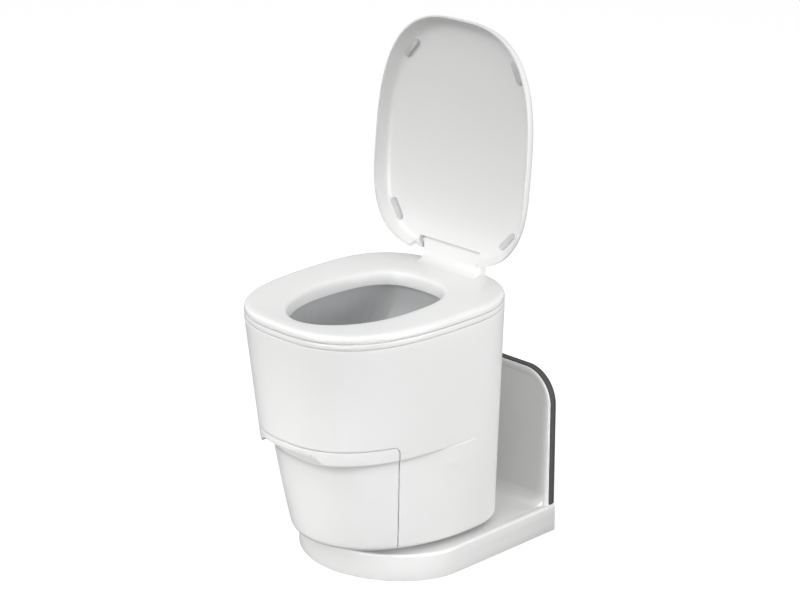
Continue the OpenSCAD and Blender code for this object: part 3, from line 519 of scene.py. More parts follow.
class Nodes:
    """Short hand for one material's nodes."""

    def __init__(self, name: str) -> None:
        """Starts a material with its shader.

        Args:
            name: name of the material.
        """
        self.material = bpy.data.materials.new(name)
        self.material.use_nodes = True
        self.tree = self.material.node_tree
        self.tree.nodes.clear()
        self.shader = self.add("ShaderNodeBsdfPrincipled")
        out = self.add("ShaderNodeOutputMaterial")
        self.link(self.shader.outputs["BSDF"], out.inputs["Surface"])
        self.place = self.add("ShaderNodeTexCoord").outputs["Object"]

    def add(self, kind: str, **settings: object) -> bpy.types.Node:
        """Adds a node and sets its properties.

        Args:
            kind: type of the node.
            settings: values of its properties.

        Returns:
            The node.
        """
        made = self.tree.nodes.new(kind)
        for key, value in settings.items():
            setattr(made, key, value)
        return made

    def link(self, start: Socket, end: Socket) -> None:
        """Joins two sockets."""
        self.tree.links.new(start, end)

    def fixed(self, **values: float) -> None:
        """Sets the shader's own sockets, named with underscores for spaces."""
        for key, value in values.items():
            self.shader.inputs[key.replace("_", " ")].default_value = value

    def noise(
        self, scale: float, detail: float = 3.0, stretch: Optional[Sequence[float]] = None
    ) -> Socket:
        """Noise on the piece's own coordinates.

        Args:
            scale: cells to the metre.
            detail: octaves of finer noise.
            stretch: factors along X, Y and Z, if any.

        Returns:
            Socket with the noise.
        """
        source = self.place
        if stretch is not None:
            mapping = self.add("ShaderNodeMapping")
            mapping.inputs["Scale"].default_value = stretch
            self.link(source, mapping.inputs["Vector"])
            source = mapping.outputs["Vector"]
        grain = self.add("ShaderNodeTexNoise")
        grain.inputs["Scale"].default_value = scale
        grain.inputs["Detail"].default_value = detail
        self.link(source, grain.inputs["Vector"])
        return grain.outputs["Fac"]

    def spread(self, value: Socket, low: float, high: float) -> Socket:
        """Maps the middle range of a value.

        Args:
            value: socket with a noise.
            low: result where the noise is low.
            high: result where it is high.

        Returns:
            Socket with the result.
        """
        ranged = self.add("ShaderNodeMapRange")
        keys = ("From Min", "From Max", "To Min", "To Max")
        for key, end in zip(keys, (NOISE_LOW, NOISE_HIGH, low, high)):
            ranged.inputs[key].default_value = end
        self.link(value, ranged.inputs["Value"])
        return ranged.outputs["Result"]

    def tones(self, value: Socket, stops: Sequence[Tuple[float, Sequence[float]]]) -> Socket:
        """Colour ramp over a value.

        Args:
            value: socket that runs from 0 to 1.
            stops: place and colour of each stop.

        Returns:
            Socket with the colour.
        """
        ramp = self.add("ShaderNodeValToRGB")
        elements = ramp.color_ramp.elements
        while len(elements) < len(stops):
            elements.new(0.5)
        for element, (at, colour) in zip(elements, stops):
            element.position = at
            element.color = (*colour, 1.0)
        self.link(value, ramp.inputs["Fac"])
        return ramp.outputs["Color"]

    def tint(
        self, value: Socket, colour: Colour, dark: float, pale: float, end: float = NOISE_HIGH
    ) -> None:
        """Colours the shader with a darker and a paler tone of one colour.

        Args:
            value: socket with a noise.
            colour: the colour between the tones.
            dark: factor of the darker tone.
            pale: factor of the paler tone.
            end: noise at which the paler tone is reached.
        """
        stops = [(NOISE_LOW, shade(colour, dark)), (end, shade(colour, pale))]
        self.link(self.tones(value, stops), self.shader.inputs["Base Color"])

    def gloss(self, value: Socket, low: float, high: float) -> None:
        """Roughens the shader unevenly, between two values."""
        self.link(self.spread(value, low, high), self.shader.inputs["Roughness"])

    def bump(
        self, height: Socket, distance: float, strength: float, under: Optional[Socket] = None
    ) -> Socket:
        """Puts a bump on the shader.

        Args:
            height: socket with a noise.
            distance: its depth, in m.
            strength: how much of it is seen.
            under: bump below this one, if any.

        Returns:
            Socket with the bumped normal.
        """
        relief = self.add("ShaderNodeBump")
        relief.inputs["Distance"].default_value = distance
        relief.inputs["Strength"].default_value = strength
        self.link(height, relief.inputs["Height"])
        if under is not None:
            self.link(under, relief.inputs["Normal"])
        self.link(relief.outputs["Normal"], self.shader.inputs["Normal"])
        return relief.outputs["Normal"]


@dataclass(frozen=True)
class Moulded:
    """Moulded plastic: faint mottling, fine grain and uneven gloss."""

    name: str
    colour: Colour
    rough: float = 0.34
    grain: float = 1400.0
    depth: float = 0.00002
    mottle: float = 0.006
    coat: float = 0.12

    def material(self) -> bpy.types.Material:
        """Builds the material.

        Returns:
            The material.
        """
        kit = Nodes(self.name)
        kit.tint(kit.noise(9.0, 4.0), self.colour, 1 - self.mottle, 1 + self.mottle)
        kit.gloss(kit.noise(25.0, 3.0), self.rough - 0.008, self.rough + 0.01)
        flow = kit.bump(kit.noise(45.0, 2.0), distance=self.depth * 0.3, strength=0.02)
        kit.bump(kit.noise(self.grain, 2.0), distance=self.depth, strength=0.25, under=flow)
        kit.fixed(IOR=1.49, Coat_Weight=self.coat, Coat_Roughness=0.3)
        return kit.material


@dataclass(frozen=True)
class Metal:
    """Brushed or milled metal, with fine lines along one axis."""

    name: str
    colour: Colour
    rough: float = 0.32
    lines: Tuple[float, float, float] = (1.0, 40.0, 40.0)

    def material(self) -> bpy.types.Material:
        """Builds the material.

        Returns:
            The material.
        """
        kit = Nodes(self.name)
        lines = kit.noise(60.0, 6.0, self.lines)
        kit.tint(lines, self.colour, 0.86, 1.08)
        kit.gloss(lines, self.rough - 0.06, self.rough + 0.12)
        kit.bump(lines, distance=0.00002, strength=0.35)
        kit.fixed(Metallic=1.0, Anisotropic=0.35)
        return kit.material


@dataclass(frozen=True)
class Coated:
    """Powder coat or black coating on steel, with an orange peel skin."""

    name: str
    colour: Colour
    rough: float = 0.48

    def material(self) -> bpy.types.Material:
        """Builds the material.

        Returns:
            The material.
        """
        kit = Nodes(self.name)
        peel = kit.noise(700.0, 3.0)
        kit.tint(kit.noise(25.0, 4.0), self.colour, 0.95, 1.05)
        kit.gloss(peel, self.rough - 0.05, self.rough + 0.08)
        kit.bump(peel, distance=0.00005, strength=0.4)
        kit.fixed(IOR=1.52, Coat_Weight=0.15, Coat_Roughness=0.35)
        return kit.material


@dataclass(frozen=True)
class Rubber:
    """Matt rubber or silicone, dusty and a little uneven."""

    name: str
    colour: Colour
    rough: float = 0.7

    def material(self) -> bpy.types.Material:
        """Builds the material.

        Returns:
            The material.
        """
        kit = Nodes(self.name)
        dust = kit.noise(34.0, 6.0)
        kit.tint(dust, self.colour, 0.92, 1.12, end=0.75)
        kit.gloss(dust, self.rough - 0.06, self.rough + 0.1)
        kit.bump(kit.noise(1900.0, 2.0), distance=0.00003, strength=0.5)
        kit.fixed(IOR=1.45, Sheen_Weight=0.08)
        return kit.material


@dataclass(frozen=True)
class Film:
    """Thin plastic film with soft creases."""

    name: str
    colour: Colour
    rough: float = 0.38
    crease: float = 0.0006

    def material(self) -> bpy.types.Material:
        """Builds the material.

        Returns:
            The material.
        """
        kit = Nodes(self.name)
        folds = kit.noise(16.0, 5.0, (1.0, 1.0, 0.35))
        kit.tint(folds, self.colour, 0.97, 1.02)
        kit.gloss(kit.noise(90.0, 4.0), self.rough - 0.05, self.rough + 0.08)
        kit.bump(folds, distance=self.crease, strength=0.25)
        kit.fixed(IOR=1.5, Sheen_Weight=0.05)
        return kit.material


@dataclass(frozen=True)
class Laminate:
    """Green circuit board with paler copper runs under the mask."""

    name: str
    colour: Colour

    def material(self) -> bpy.types.Material:
        """Builds the material.

        Returns:
            The material.
        """
        kit = Nodes(self.name)
        runs = kit.add("ShaderNodeTexBrick", offset=0.5, squash=1.0)
        runs.inputs["Scale"].default_value = 95.0
        runs.inputs["Mortar Size"].default_value = 0.07
        for part, factor in (("Color1", 0.8), ("Color2", 1.0), ("Mortar", 1.9)):
            runs.inputs[part].default_value = (*shade(self.colour, factor), 1)
        turned = kit.add("ShaderNodeMapping")
        turned.inputs["Rotation"].default_value = (math.radians(90), 0, 0)
        kit.link(kit.place, turned.inputs["Vector"])
        kit.link(turned.outputs["Vector"], runs.inputs["Vector"])
        kit.link(runs.outputs["Color"], kit.shader.inputs["Base Color"])
        kit.bump(runs.outputs["Fac"], distance=0.00004, strength=0.5)
        kit.gloss(kit.noise(200.0), 0.25, 0.4)
        kit.fixed(IOR=1.5, Coat_Weight=0.4, Coat_Roughness=0.2)
        return kit.material


FINISHES = {finish.name: finish for finish in (
    Moulded("shell_white", (0.83, 0.83, 0.825)),
    Moulded("seat_white", (0.84, 0.84, 0.835), rough=0.26, depth=0.00001, coat=0.25),
    Moulded("base_white", (0.82, 0.82, 0.815), rough=0.36),
    Moulded("grey_plastic", (0.3, 0.305, 0.31), rough=0.5, depth=0.00004, mottle=0.03, coat=0.0),
    Moulded("bowl_grey", (0.33, 0.33, 0.325), rough=0.3),
    Moulded(
        "dark_plastic", (0.03, 0.032, 0.034), rough=0.5, depth=0.00005, mottle=0.06, coat=0.0
    ),
    Rubber("seal_rubber", (0.07, 0.07, 0.072)),
    Rubber("pad_rubber", (0.6, 0.6, 0.605)),
    Rubber("silicone", (0.32, 0.05, 0.03), rough=0.6),
    Metal("steel", (0.56, 0.57, 0.59)),
    Metal("alloy", (0.66, 0.67, 0.69), rough=0.38, lines=(40.0, 1.0, 40.0)),
    Coated("painted_steel", (0.21, 0.215, 0.22)),
    Coated("magnet", (0.02, 0.02, 0.022), rough=0.35),
    Coated("motor_can", (0.035, 0.035, 0.038), rough=0.4),
    Film("liner", (0.5, 0.505, 0.51)),
    Film("bag", (0.58, 0.59, 0.6), crease=0.0012),
    Laminate("board", (0.02, 0.11, 0.04)),
)}


class Paint:
    """Keeps one material for each finish and puts it on pieces."""

    def __init__(self) -> None:
        """Starts with no materials made."""
        self.made: Dict[str, bpy.types.Material] = {}

    def dress(self, piece: Solid, slot: str) -> None:
        """Gives a piece its one material, built when it is first asked for.

        Args:
            piece: mesh object.
            slot: material slot of the record.
        """
        if slot not in self.made:
            self.made[slot] = FINISHES[slot].material()
        piece.data.materials.clear()
        piece.data.materials.append(self.made[slot])
        for face in piece.data.polygons:
            face.material_index = 0


PAINT = Paint()


def settle(piece: Solid, body: str, slot: str, nodes: Sequence[str]) -> None:
    """Dresses a finished piece, lets it ride on its body and hides what it stands for.

    Args:
        piece: finished mesh object.
        body: CAD body that it moves with.
        slot: material slot of the record.
        nodes: CAD nodes that it replaces.
    """
    PAINT.dress(piece, slot)
    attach(piece, body)
    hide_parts(*nodes)
    log.info("%s rides on %s: %d faces", piece.name, body, len(piece.data.polygons))


# ---------------------------------------------------------------- the body


@dataclass
class Body:
    """Outline of the moulded body, and the covers cut from it. Sizes are in mm."""

    width: float = 385.0
    front: float = 264.0
    rear: float = 193.0
    seat_z: float = 490.0
    crease_z: float = 250.0
    crease_width: float = 351.0
    crease_front: float = 251.0
    low_width: float = 338.0
    low_front: float = 209.0
    foot_front: float = 189.0
    foot_rear: float = 178.0
    foot_z: float = 62.0
    foot_r: float = 13.0
    wall: float = 3.0
    top_z: float = 478.0
    cove: float = 34.0
    n_top: float = 2.8
    n_rear: float = 2.75
    n_crease: float = 2.4
    n_low: float = 3.1
    n_foot: float = 2.1
    mid_top: float = 14.5
    mid_low: float = 57.0
    fade_end: float = 45.0
    fade_length: float = 110.0
    crease_lip: Pile = ((0.5, 1.9), (1.5, 0.8), (3.0, 0.2))
    top_lip: Pile = ((1.2, 0.1), (0.5, 0.5), (0.1, 1.1), (0, 1.8))
    door_top: float = 279.0
    door_angle: float = 52.5
    door_r: float = 12.0
    door_blank_top: float = 318.0
    seam: float = 1.2
    recess_half: float = 88.0
    recess_up: float = 17.0
    catches: Pile = ((102.0, 92.0), (126.0, 208.0))
    catch_y: float = -113.6
    catch_d: float = 12.0
    catch_bite: float = 1.2
    screw_x: float = 90.0
    screw_heights: Tuple[float, float] = (110.0, 380.0)
    screw_d: float = 4.5
    screw_head_d: float = 10.0
    screw_sink: float = 0.8
    button_y: float = 96.0
    button_z: float = 430.0
    bezel_d: float = 30.0
    button_bore: Tuple[float, float] = (-30.0, 60.0)
    sector_start: float = 60.0
    past_front: float = 420.0
    past_rear: float = 230.0

    def rear_reach(self, z: float) -> float:
        """Reach of the back at a height."""
        return mix(self.rear, self.foot_rear, self.depth_share(z))

    def depth_share(self, z: float) -> float:
        """Share of the way from the body's top down to its foot."""
        return (self.top_z - z) / (self.top_z - self.foot_z)

    @property
    def cove_foot(self) -> float:
        """Height just below the cove under the crease."""
        return self.crease_z - self.cove - 6

    def plain(self, z: float, inset: float) -> Ring:
        """Outline where the body has no step.

        Args:
            z: height, in mm.
            inset: move inwards, in mm.

        Returns:
            The outline.
        """
        k = self.depth_share(z)
        half, front = mix(self.width, self.low_width, k) / 2, mix(self.front, self.foot_front, k)
        n_front, mid = mix(self.n_top, self.n_foot, k), mix(self.mid_top, self.mid_low, k)
        return Oval(half, front, self.rear_reach(z), n_front, self.n_rear, mid).ring(-inset, z)

    def faded(self, stepped: Ring, plain: Ring) -> Ring:
        """Fades the step out from the front to the back.

        Args:
            stepped: outline with the step.
            plain: outline without it.

        Returns:
            The faded outline.
        """
        k = np.clip((self.fade_end - stepped[:, 1]) / self.fade_length, 0, 1)
        k = (k * k * (3 - 2 * k))[:, None]
        ring = plain + (stepped - plain) * k
        ring[:, 2] = stepped[:, 2]
        return ring

    def upper(self, z: float, inset: float, bevel: float = 0.0) -> Ring:
        """Outline of the swelling upper half.

        Args:
            z: height, in mm.
            inset: move inwards, in mm.
            bevel: further move inwards where the body is stepped.

        Returns:
            The outline.
        """
        k = (self.top_z - z) / (self.top_z - self.crease_z)
        stepped = Oval(
            mix(self.width, self.crease_width, k) / 2, mix(self.front, self.crease_front, k),
            self.rear_reach(z), mix(self.n_top, self.n_crease, k), self.n_rear, self.mid_top,
        )
        return self.faded(stepped.ring(-inset - bevel, z), self.plain(z, inset))

    def lower(self, z: float, inset: float) -> Ring:
        """Outline of the lower half.

        Args:
            z: height, in mm.
            inset: move inwards, in mm.

        Returns:
            The outline.
        """
        k = (self.crease_z - z) / (self.crease_z - self.foot_z)
        stepped = Oval(
            self.low_width / 2, mix(self.low_front, self.foot_front, k), self.rear_reach(z),
            mix(self.n_low, self.n_foot, k), self.n_rear, self.mid_low,
        )
        return self.faded(stepped.ring(-inset, z), self.plain(z, inset))

    def hollow(self, turn: float, inset: float, up: float) -> Ring:
        """Outline in the cove under the crease.

        Args:
            turn: place in the cove's quarter turn, in degrees.
            inset: move inwards, in mm.
            up: move upwards, in mm.

        Returns:
            The outline.
        """
        angle = math.radians(turn)
        z = self.crease_z + up - self.cove * (1 - math.cos(angle))
        above = self.upper(self.crease_z, inset, 3)
        below = self.lower(self.crease_z - self.cove, inset)
        return self.faded(blend(above, below, math.sin(angle), z), self.plain(z, inset))

    def foot(self, turn: float, inset: float) -> Ring:
        """Outline in the rounding of the lower edge.

        Args:
            turn: place in the rounding, in degrees.
            inset: move inwards, in mm.

        Returns:
            The outline.
        """
        angle = math.radians(turn)
        r = self.foot_r
        z = self.foot_z + r - (r - inset) * math.sin(angle)
        return self.lower(z, inset + (r - inset) * (1 - math.cos(angle)))

    def outside(self, top: float) -> List[Ring]:
        """Outer outlines from the foot upwards.

        Args:
            top: height of the last one, in mm.

        Returns:
            The outlines.
        """
        crease = self.crease_z
        above = np.linspace(crease + 5, top, max(3, int((top - crease) / 14)))
        rings = [self.foot(turn, 0) for turn in range(90, 0, -15)]
        rings += [
            self.lower(z, 0) for z in np.linspace(self.foot_z + self.foot_r, self.cove_foot, 9)
        ]
        rings += [self.hollow(turn, 0, 0) for turn in range(90, -1, -9)]
        rings += [self.upper(crease + up, 0, bevel) for up, bevel in self.crease_lip]
        return rings + [self.upper(z, 0) for z in above]

    def inside(self, top: float) -> List[Ring]:
        """Inner outlines from the top down to the foot.

        Args:
            top: height of the first one, in mm.

        Returns:
            The outlines.
        """
        w, crease = self.wall, self.crease_z
        above = np.linspace(top, crease + w + 4, max(3, int((top - crease) / 28)))
        below = np.linspace(crease - self.cove - 10, self.foot_z + self.foot_r, 6)
        rings = [self.upper(z, w) for z in above]
        rings += [self.hollow(turn, w, w) for turn in range(0, 91, 18)]
        rings += [self.lower(z, w) for z in below]
        return rings + [self.foot(turn, w) for turn in (30, 50, 70, 90)]

    def door_block(self, grow: float) -> Solid:
        """Solid that holds the door: the front sector with rounded upper corners.

        Args:
            grow: how far its faces are moved outwards, in mm.

        Returns:
            A closed solid.
        """
        radius = self.door_r + grow
        top, low = self.door_top + grow, self.foot_z - 20
        angle = math.radians(self.door_angle)
        across = radius / math.cos(angle)
        rings = []
        for reach in (self.sector_start, self.past_front):
            half = reach * math.tan(angle) + grow / math.cos(angle)
            corner = [
                (half - across * (1 - math.cos(t)), top - radius * (1 - math.sin(t)))
                for t in sweep(90, 12)
            ]
            outline = [(-half, low), (half, low)] + corner + [(-x, z) for x, z in reversed(corner)]
            rings.append(np.array([(x, -reach, z) for x, z in outline]))
        return loft("door_block", rings)

    def recess(self, grow: float, back: float) -> Solid:
        """Solid of the finger recess under the door's upper edge.

        Args:
            grow: how far its faces are moved outwards, in mm.
            back: where it starts in front of the swivel axis, in mm.

        Returns:
            A closed solid.
        """
        half, low, crease = self.recess_half, self.cove_foot, self.crease_z
        shoulder = crease + 13.6 + grow
        right = [
            (half - 22 + grow, low - grow), (half + grow, crease - 1),
            (half - 8 + grow, crease + 5.1), (half - 20 + grow, shoulder),
            (half - 36, crease + self.recess_up + grow),
        ]
        points = right + [(-x, z) for x, z in reversed(right)]
        return prism("recess", points, back, self.past_front, UPRIGHT, radius=6.0, segments=5)

    def casing(self) -> None:
        """Rear casing: the whole body's skin without the door."""
        top = self.top_z
        brow = self.top_lip + ((0, self.wall - 0.3), (1, self.wall))
        rings = self.outside(top - 2.0)
        rings += [self.upper(top - down, inset) for down, inset in brow]
        rings += self.inside(top - 8)
        piece = loft("casing_shell", rings, closed=True)
        carve(piece, self.door_block(self.seam), Cut.AWAY)
        behind = self.past_rear
        for x in (-self.screw_x, self.screw_x):
            for z in self.screw_heights:
                sunk = self.rear_face(x, z) - self.screw_sink
                for width, start in ((self.screw_d, 0), (self.screw_head_d, sunk)):
                    carve(piece, rod("hole", width, (x, start, z), (x, behind, z)), Cut.AWAY)
        face, y, z = self.button_face(), self.button_y, self.button_z
        start, end = [(face + across, y, z) for across in self.button_bore]
        carve(piece, rod("hole", self.bezel_d, start, end, segments=96), Cut.AWAY)
        polish(piece, angle=34, bevel=0.35)
        settle(piece, "body", "shell_white", ["rear_casing"])

    def rear_face(self, x: float, z: float) -> float:
        """Finds where the back of the casing lies.

        Args:
            x: place across the casing, in mm.
            z: height, in mm.

        Returns:
            Its reach behind the swivel axis, in mm.
        """
        k = self.depth_share(z)
        half, mid = mix(self.width, self.low_width, k) / 2, mix(self.mid_top, self.mid_low, k)
        return mid + (self.rear_reach(z) - mid) * fall(abs(x) / half, self.n_rear)

    def button_face(self) -> float:
        """Finds where the side of the casing lies at the start button.

        Returns:
            Its place across the casing, in mm.
        """
        k = self.depth_share(self.button_z)
        half, mid = mix(self.width, self.low_width, k) / 2, mix(self.mid_top, self.mid_low, k)
        share = (self.button_y - mid) / (self.rear_reach(self.button_z) - mid)
        return -half * fall(share, self.n_rear)

    def door(self) -> None:
        """Front door with its finger recess and the bosses behind its catches."""
        back, top = self.low_front + 2, self.door_blank_top
        piece = loft("door_shell", self.outside(top) + self.inside(top), closed=True)
        carve(piece, self.door_block(0), Cut.KEEP)
        lining = loft("lining", self.outside(top))
        carve(lining, self.recess(self.wall, back - self.wall), Cut.KEEP)
        carve(lining, self.door_block(0), Cut.KEEP)
        carve(piece, lining, Cut.ADD)
        carve(piece, self.recess(0, back), Cut.AWAY)
        for across, z in self.catches:
            start = self.inner_face(across, z) - self.catch_bite
            for x in (-across, across):
                boss = rod("boss", self.catch_d, (x, start, z), (x, self.catch_y, z), edge=0.5)
                carve(piece, boss, Cut.ADD)
        polish(piece, angle=34, bevel=0.35)
        settle(piece, "door", "shell_white", ["front_door"])

    def inner_face(self, x: float, z: float) -> float:
        """Finds where the inside of the door lies behind a catch.

        Args:
            x: middle of the catch, in mm.
            z: height of the catch, in mm.

        Returns:
            Place along Y, in mm.
        """
        k = (self.crease_z - z) / (self.crease_z - self.foot_z)
        front = mix(self.low_front, self.foot_front, k) - self.wall
        share = (x + self.catch_d / 2) / (self.low_width / 2 - self.wall)
        return self.mid_low - (self.mid_low + front) * fall(share, mix(self.n_low, self.n_foot, k))


# ---------------------------------------------------------------- seat and lid


@dataclass
class Seating:
    """Seat with its hinge block, and the lid with its pads and pin. Sizes are in mm."""

    body: Body
    opening: Oval = Oval(106.0, 215.0, 95.0, 1.95, 3.0, -60.0)
    top: float = 504.0
    dish: float = 4.0
    lip: float = 29.0
    seat_foot: Pile = ((7, 0), (1.6, 0), (0.5, 0.6), (0, 2.4))
    seat_brow: Pile = ((0.5, 6), (1.2, 4), (2.6, 2.2), (5.2, 0.8), (8.5, 0.2), (13, 0))
    seat_mouth: Pile = ((5, 0.7), (2.6, 2.2), (1.1, 4.6), (0.3, 8))
    seat_lip: Pile = ((-1.9, 1.8), (-1.6, 0.6), (-0.8, 0), (0.8, 0))
    block_half: float = 72.0
    block_low: float = 492.0
    flare_l: float = 26.0
    flare_h: float = 18.0
    pin_y: float = 177.5
    pin_z: float = 540.0
    pin_d: float = 8.0
    pin_reach: float = 94.0
    barrel_r: float = 8.5
    hinge_y: float = 192.6
    hinge_z: float = 489.4
    hinge_pin_d: float = 4.1
    knuckle_d: float = 8.4
    knuckle: Tuple[float, float] = (16.0, 40.0)
    knuckle_rooms: Pile = ((5.7, 16), (40, 50.3))
    knuckle_room_d: float = 9.6
    open_angle: float = 95.5
    rim_z: float = 504.5
    cover: Oval = Oval(191.5, 251.5, 196.0, 2.86, 3.05, 14.5)
    lid_depth: float = 38.0
    lid_skin: Pile = (
        (1.4, 0), (0.6, 0.25), (0.1, 0.9), (0.1, 3), (0.5, 6), (1.4, 10), (3, 14), (5, 18),
        (8, 22), (11.6, 25.4), (17, 28.5), (24, 31.3), (34, 33.5), (50, 35.3), (70, 36.5),
        (94, 37.4), (120, 38.0),
    )
    tray_wall: Pile = (
        (3.6, 1.5), (4.6, 4.5), (7, 8), (11, 14), (13.6, 17), (17, 19.5), (21, 21.4),
        (26, 22.8), (33, 23.8), (44, 24.5), (62, 24.8), (92, 25),
    )
    tray_rim: float = 3.4
    tray_depth: float = 25.0
    slope_y: float = 121.5
    slope_end: float = 20.0
    slope_bend: float = 16.0
    relief_half: float = 82.0
    relief_y: float = 162.0
    relief_up: float = 24.0
    pocket_gap: float = 1.8
    pocket_half: float = 77.0
    lug_x: float = 80.0
    lug_r: float = 17.0
    hump_r: float = 11.0
    hump_up: float = 33.2
    hump_flat: float = 0.3
    collar_d: float = 12.0
    past_rear: float = 233.0
    pad_up: float = 17.5
    pad_half: float = 22.0
    pad_w: float = 12.0
    pad_inset: float = 24.0
    pad_points: Tuple[int, ...] = (21, 75, 120, 168)

    def edge(self, inset: float, z: float) -> Ring:
        """Outline of the seat.

        Args:
            inset: move inwards, in mm.
            z: height, in mm.

        Returns:
            The outline.
        """
        b = self.body
        brim = Oval(b.width / 2, b.front, b.rear, b.n_top, b.n_rear, b.mid_top)
        return brim.ring(-inset, z)

    @property
    def block_front(self) -> float:
        """Front of the hinge block above its flare."""
        return self.pin_y - self.barrel_r

    def block_profile(self) -> Profile:
        """Side view of the hinge block.

        Returns:
            Points in Y and Z, in mm.
        """
        y, z, r, foot = self.pin_y, self.pin_z, self.barrel_r, self.block_front - self.flare_l
        low, rise = self.top - 0.9, self.flare_h + 0.9
        flare = [
            (foot + self.flare_l * math.sin(t), low + rise * (1 - math.cos(t)))
            for t in sweep(90, 16)[1:]
        ]
        barrel = [(y - r * math.cos(t), z + r * math.sin(t)) for t in sweep(180, 24)]
        ends = [(y + r, self.block_low), (self.block_front + 6, self.block_low)]
        return [(foot, self.top - 3), (foot, low)] + flare + barrel + ends

    def seat_rings(self) -> List[Ring]:
        """Section of the seat ring, from its foot over its top to its underside.

        Returns:
            The outlines.
        """
        z, top, hole = self.body.seat_z, self.top, self.opening.ring
        dished = top - self.dish
        rings = [self.edge(inset, z + up) for inset, up in self.seat_foot]
        rings += [self.edge(inset, top - down) for inset, down in self.seat_brow]
        rim, mouth = self.edge(self.seat_brow[-1][0], 0), hole(8, 0)
        for k in (0.2, 0.4, 0.6, 0.8):
            rings.append(blend(rim, mouth, k, top - self.dish * k * k * 0.94))
        rings.append(hole(8, top - self.dish * 0.94))
        rings += [hole(grow, dished - down) for grow, down in self.seat_mouth]
        rings += [hole(grow, top - self.lip + up) for grow, up in self.seat_lip]
        return rings + [hole(2.6, z + 3), self.edge(9, z + 4)]

    def seat(self) -> None:
        """Seat ring, hinge block and the two knuckles under its back."""
        piece = loft("seat_ring", self.seat_rings(), closed=True)
        half = self.block_half
        carve(piece, prism("block", self.block_profile(), -half, half, ALONG_X, edge=1.6), Cut.ADD)
        y, z = self.hinge_y, self.hinge_z
        near, far = self.knuckle
        for side in (-1, 1):
            start, end = (side * near, y, z), (side * far, y, z)
            carve(piece, rod("knuckle", self.knuckle_d, start, end, edge=0.6), Cut.ADD)
            for a, b in self.knuckle_rooms:
                room = rod("room", self.knuckle_room_d, (side * a, y, z), (side * b, y, z))
                carve(piece, room, Cut.AWAY)
            start, end = (side * (near - 1), y, z), (side * (far + 1), y, z)
            carve(piece, rod("bore", self.hinge_pin_d, start, end), Cut.AWAY)
        self.drill(piece, half + 1, self.pin_d + 0.1)
        polish(piece, angle=30, bevel=0.5)
        settle(piece, "seat", "seat_white", ["seat"])

    def drill(self, piece: Solid, reach: float, width: float) -> None:
        """Drills the bore of the lid's pin.

        Args:
            piece: seat or closed lid.
            reach: end of the bore on each side, in mm.
            width: its diameter, in mm.
        """
        y, z = self.pin_y, self.pin_z
        carve(piece, rod("bore", width, (-reach, y, z), (reach, y, z)), Cut.AWAY)

    def lid_pile(self, name: str, pile: Pile) -> Solid:
        """Skins the lid's outlines, with smooth ones between them.

        Args:
            name: name of the new object.
            pile: inset and height of each outline, in mm.

        Returns:
            A closed solid.
        """
        rings = [self.cover.ring(-inset, self.rim_z + up) for inset, up in pile]
        return loft(name, smooth_between(rings, 2))

    def swing_open(self, piece: Solid) -> None:
        """Turns a closed lid's piece about the pin to where the lid stands open.

        Args:
            piece: lid or pads.
        """
        pin = Vector((0, self.pin_y, self.pin_z)) * MM
        turn = Matrix.Rotation(math.radians(-self.open_angle), 4, "X")
        piece.data.transform(Matrix.Translation(pin) @ turn @ Matrix.Translation(-pin))

    def slope(self) -> Solid:
        """Solid that lifts the floor of the tray towards the hinge, with a soft start.

        Returns:
            A closed solid.
        """
        rise = (self.tray_depth - self.slope_end) / (self.block_front - self.slope_y)
        start, floor, bend = self.slope_y, self.rim_z + self.tray_depth + 0.1, self.slope_bend
        points = []
        for step in range(13):
            y = start + bend * (step / 6 - 1)
            points.append((y, floor - rise * (y - start + bend) ** 2 / (4 * bend)))
        far, high = self.past_rear, self.rim_z + self.lid_depth
        points += [(far, floor - rise * (far - start)), (far, high), (points[0][0], high)]
        return prism("slope", points, -200, 200, ALONG_X)

    def tray(self, drop: float) -> Solid:
        """Solid of the lid's hollow.

        Args:
            drop: height of its mouth above the rim, in mm, below 0 so that it cuts right through.

        Returns:
            A closed solid.
        """
        hollow = self.lid_pile("tray", ((self.tray_rim, drop),) + self.tray_wall)
        return carve(hollow, self.slope(), Cut.AWAY)

    def hump(self) -> Solid:
        """Swelling of the lid round its hinge: the hull of balls at the pin and flat ones ahead.

        Returns:
            A closed solid.
        """
        y, z, r = self.pin_y, self.pin_z, self.lug_r
        ahead = (self.slope_y + self.slope_bend, self.rim_z + self.hump_up, self.hump_r)
        spots = [(y - 8, z, r, 1.0), (y, z, r, 1.0), (*ahead, self.hump_flat)]
        bm = bmesh.new()
        for at, up, radius, flatness in spots:
            for x in (-self.lug_x, self.lug_x):
                ball = bmesh.ops.create_icosphere(bm, subdivisions=4, radius=radius * MM)["verts"]
                bmesh.ops.scale(bm, verts=ball, vec=(1, 1, flatness))
                bmesh.ops.translate(bm, verts=ball, vec=Vector((x, at, up)) * MM)
        bmesh.ops.delete(bm, geom=bm.edges[:], context="EDGES_FACES")
        hull = bmesh.ops.convex_hull(bm, input=bm.verts[:])
        spare = list(dict.fromkeys(hull["geom_interior"] + hull["geom_unused"]))
        bmesh.ops.delete(bm, geom=spare, context="VERTS")
        tidy(bm)
        return to_object(bm, "hump")

    def pocket(self) -> Solid:
        """Room that the hinge block needs in the lid, close round its barrel.

        Returns:
            A closed solid.
        """
        y, z, r = self.pin_y, self.pin_z, self.barrel_r + self.pocket_gap
        low, far = self.rim_z - 9, self.past_rear
        points = [(far, low), (y - r, low)]
        points += [(y - r * math.cos(t), z + r * math.sin(t)) for t in sweep(90, 12)]
        points.append((far, z + r))
        return prism("pocket", points, -self.pocket_half, self.pocket_half, ALONG_X)

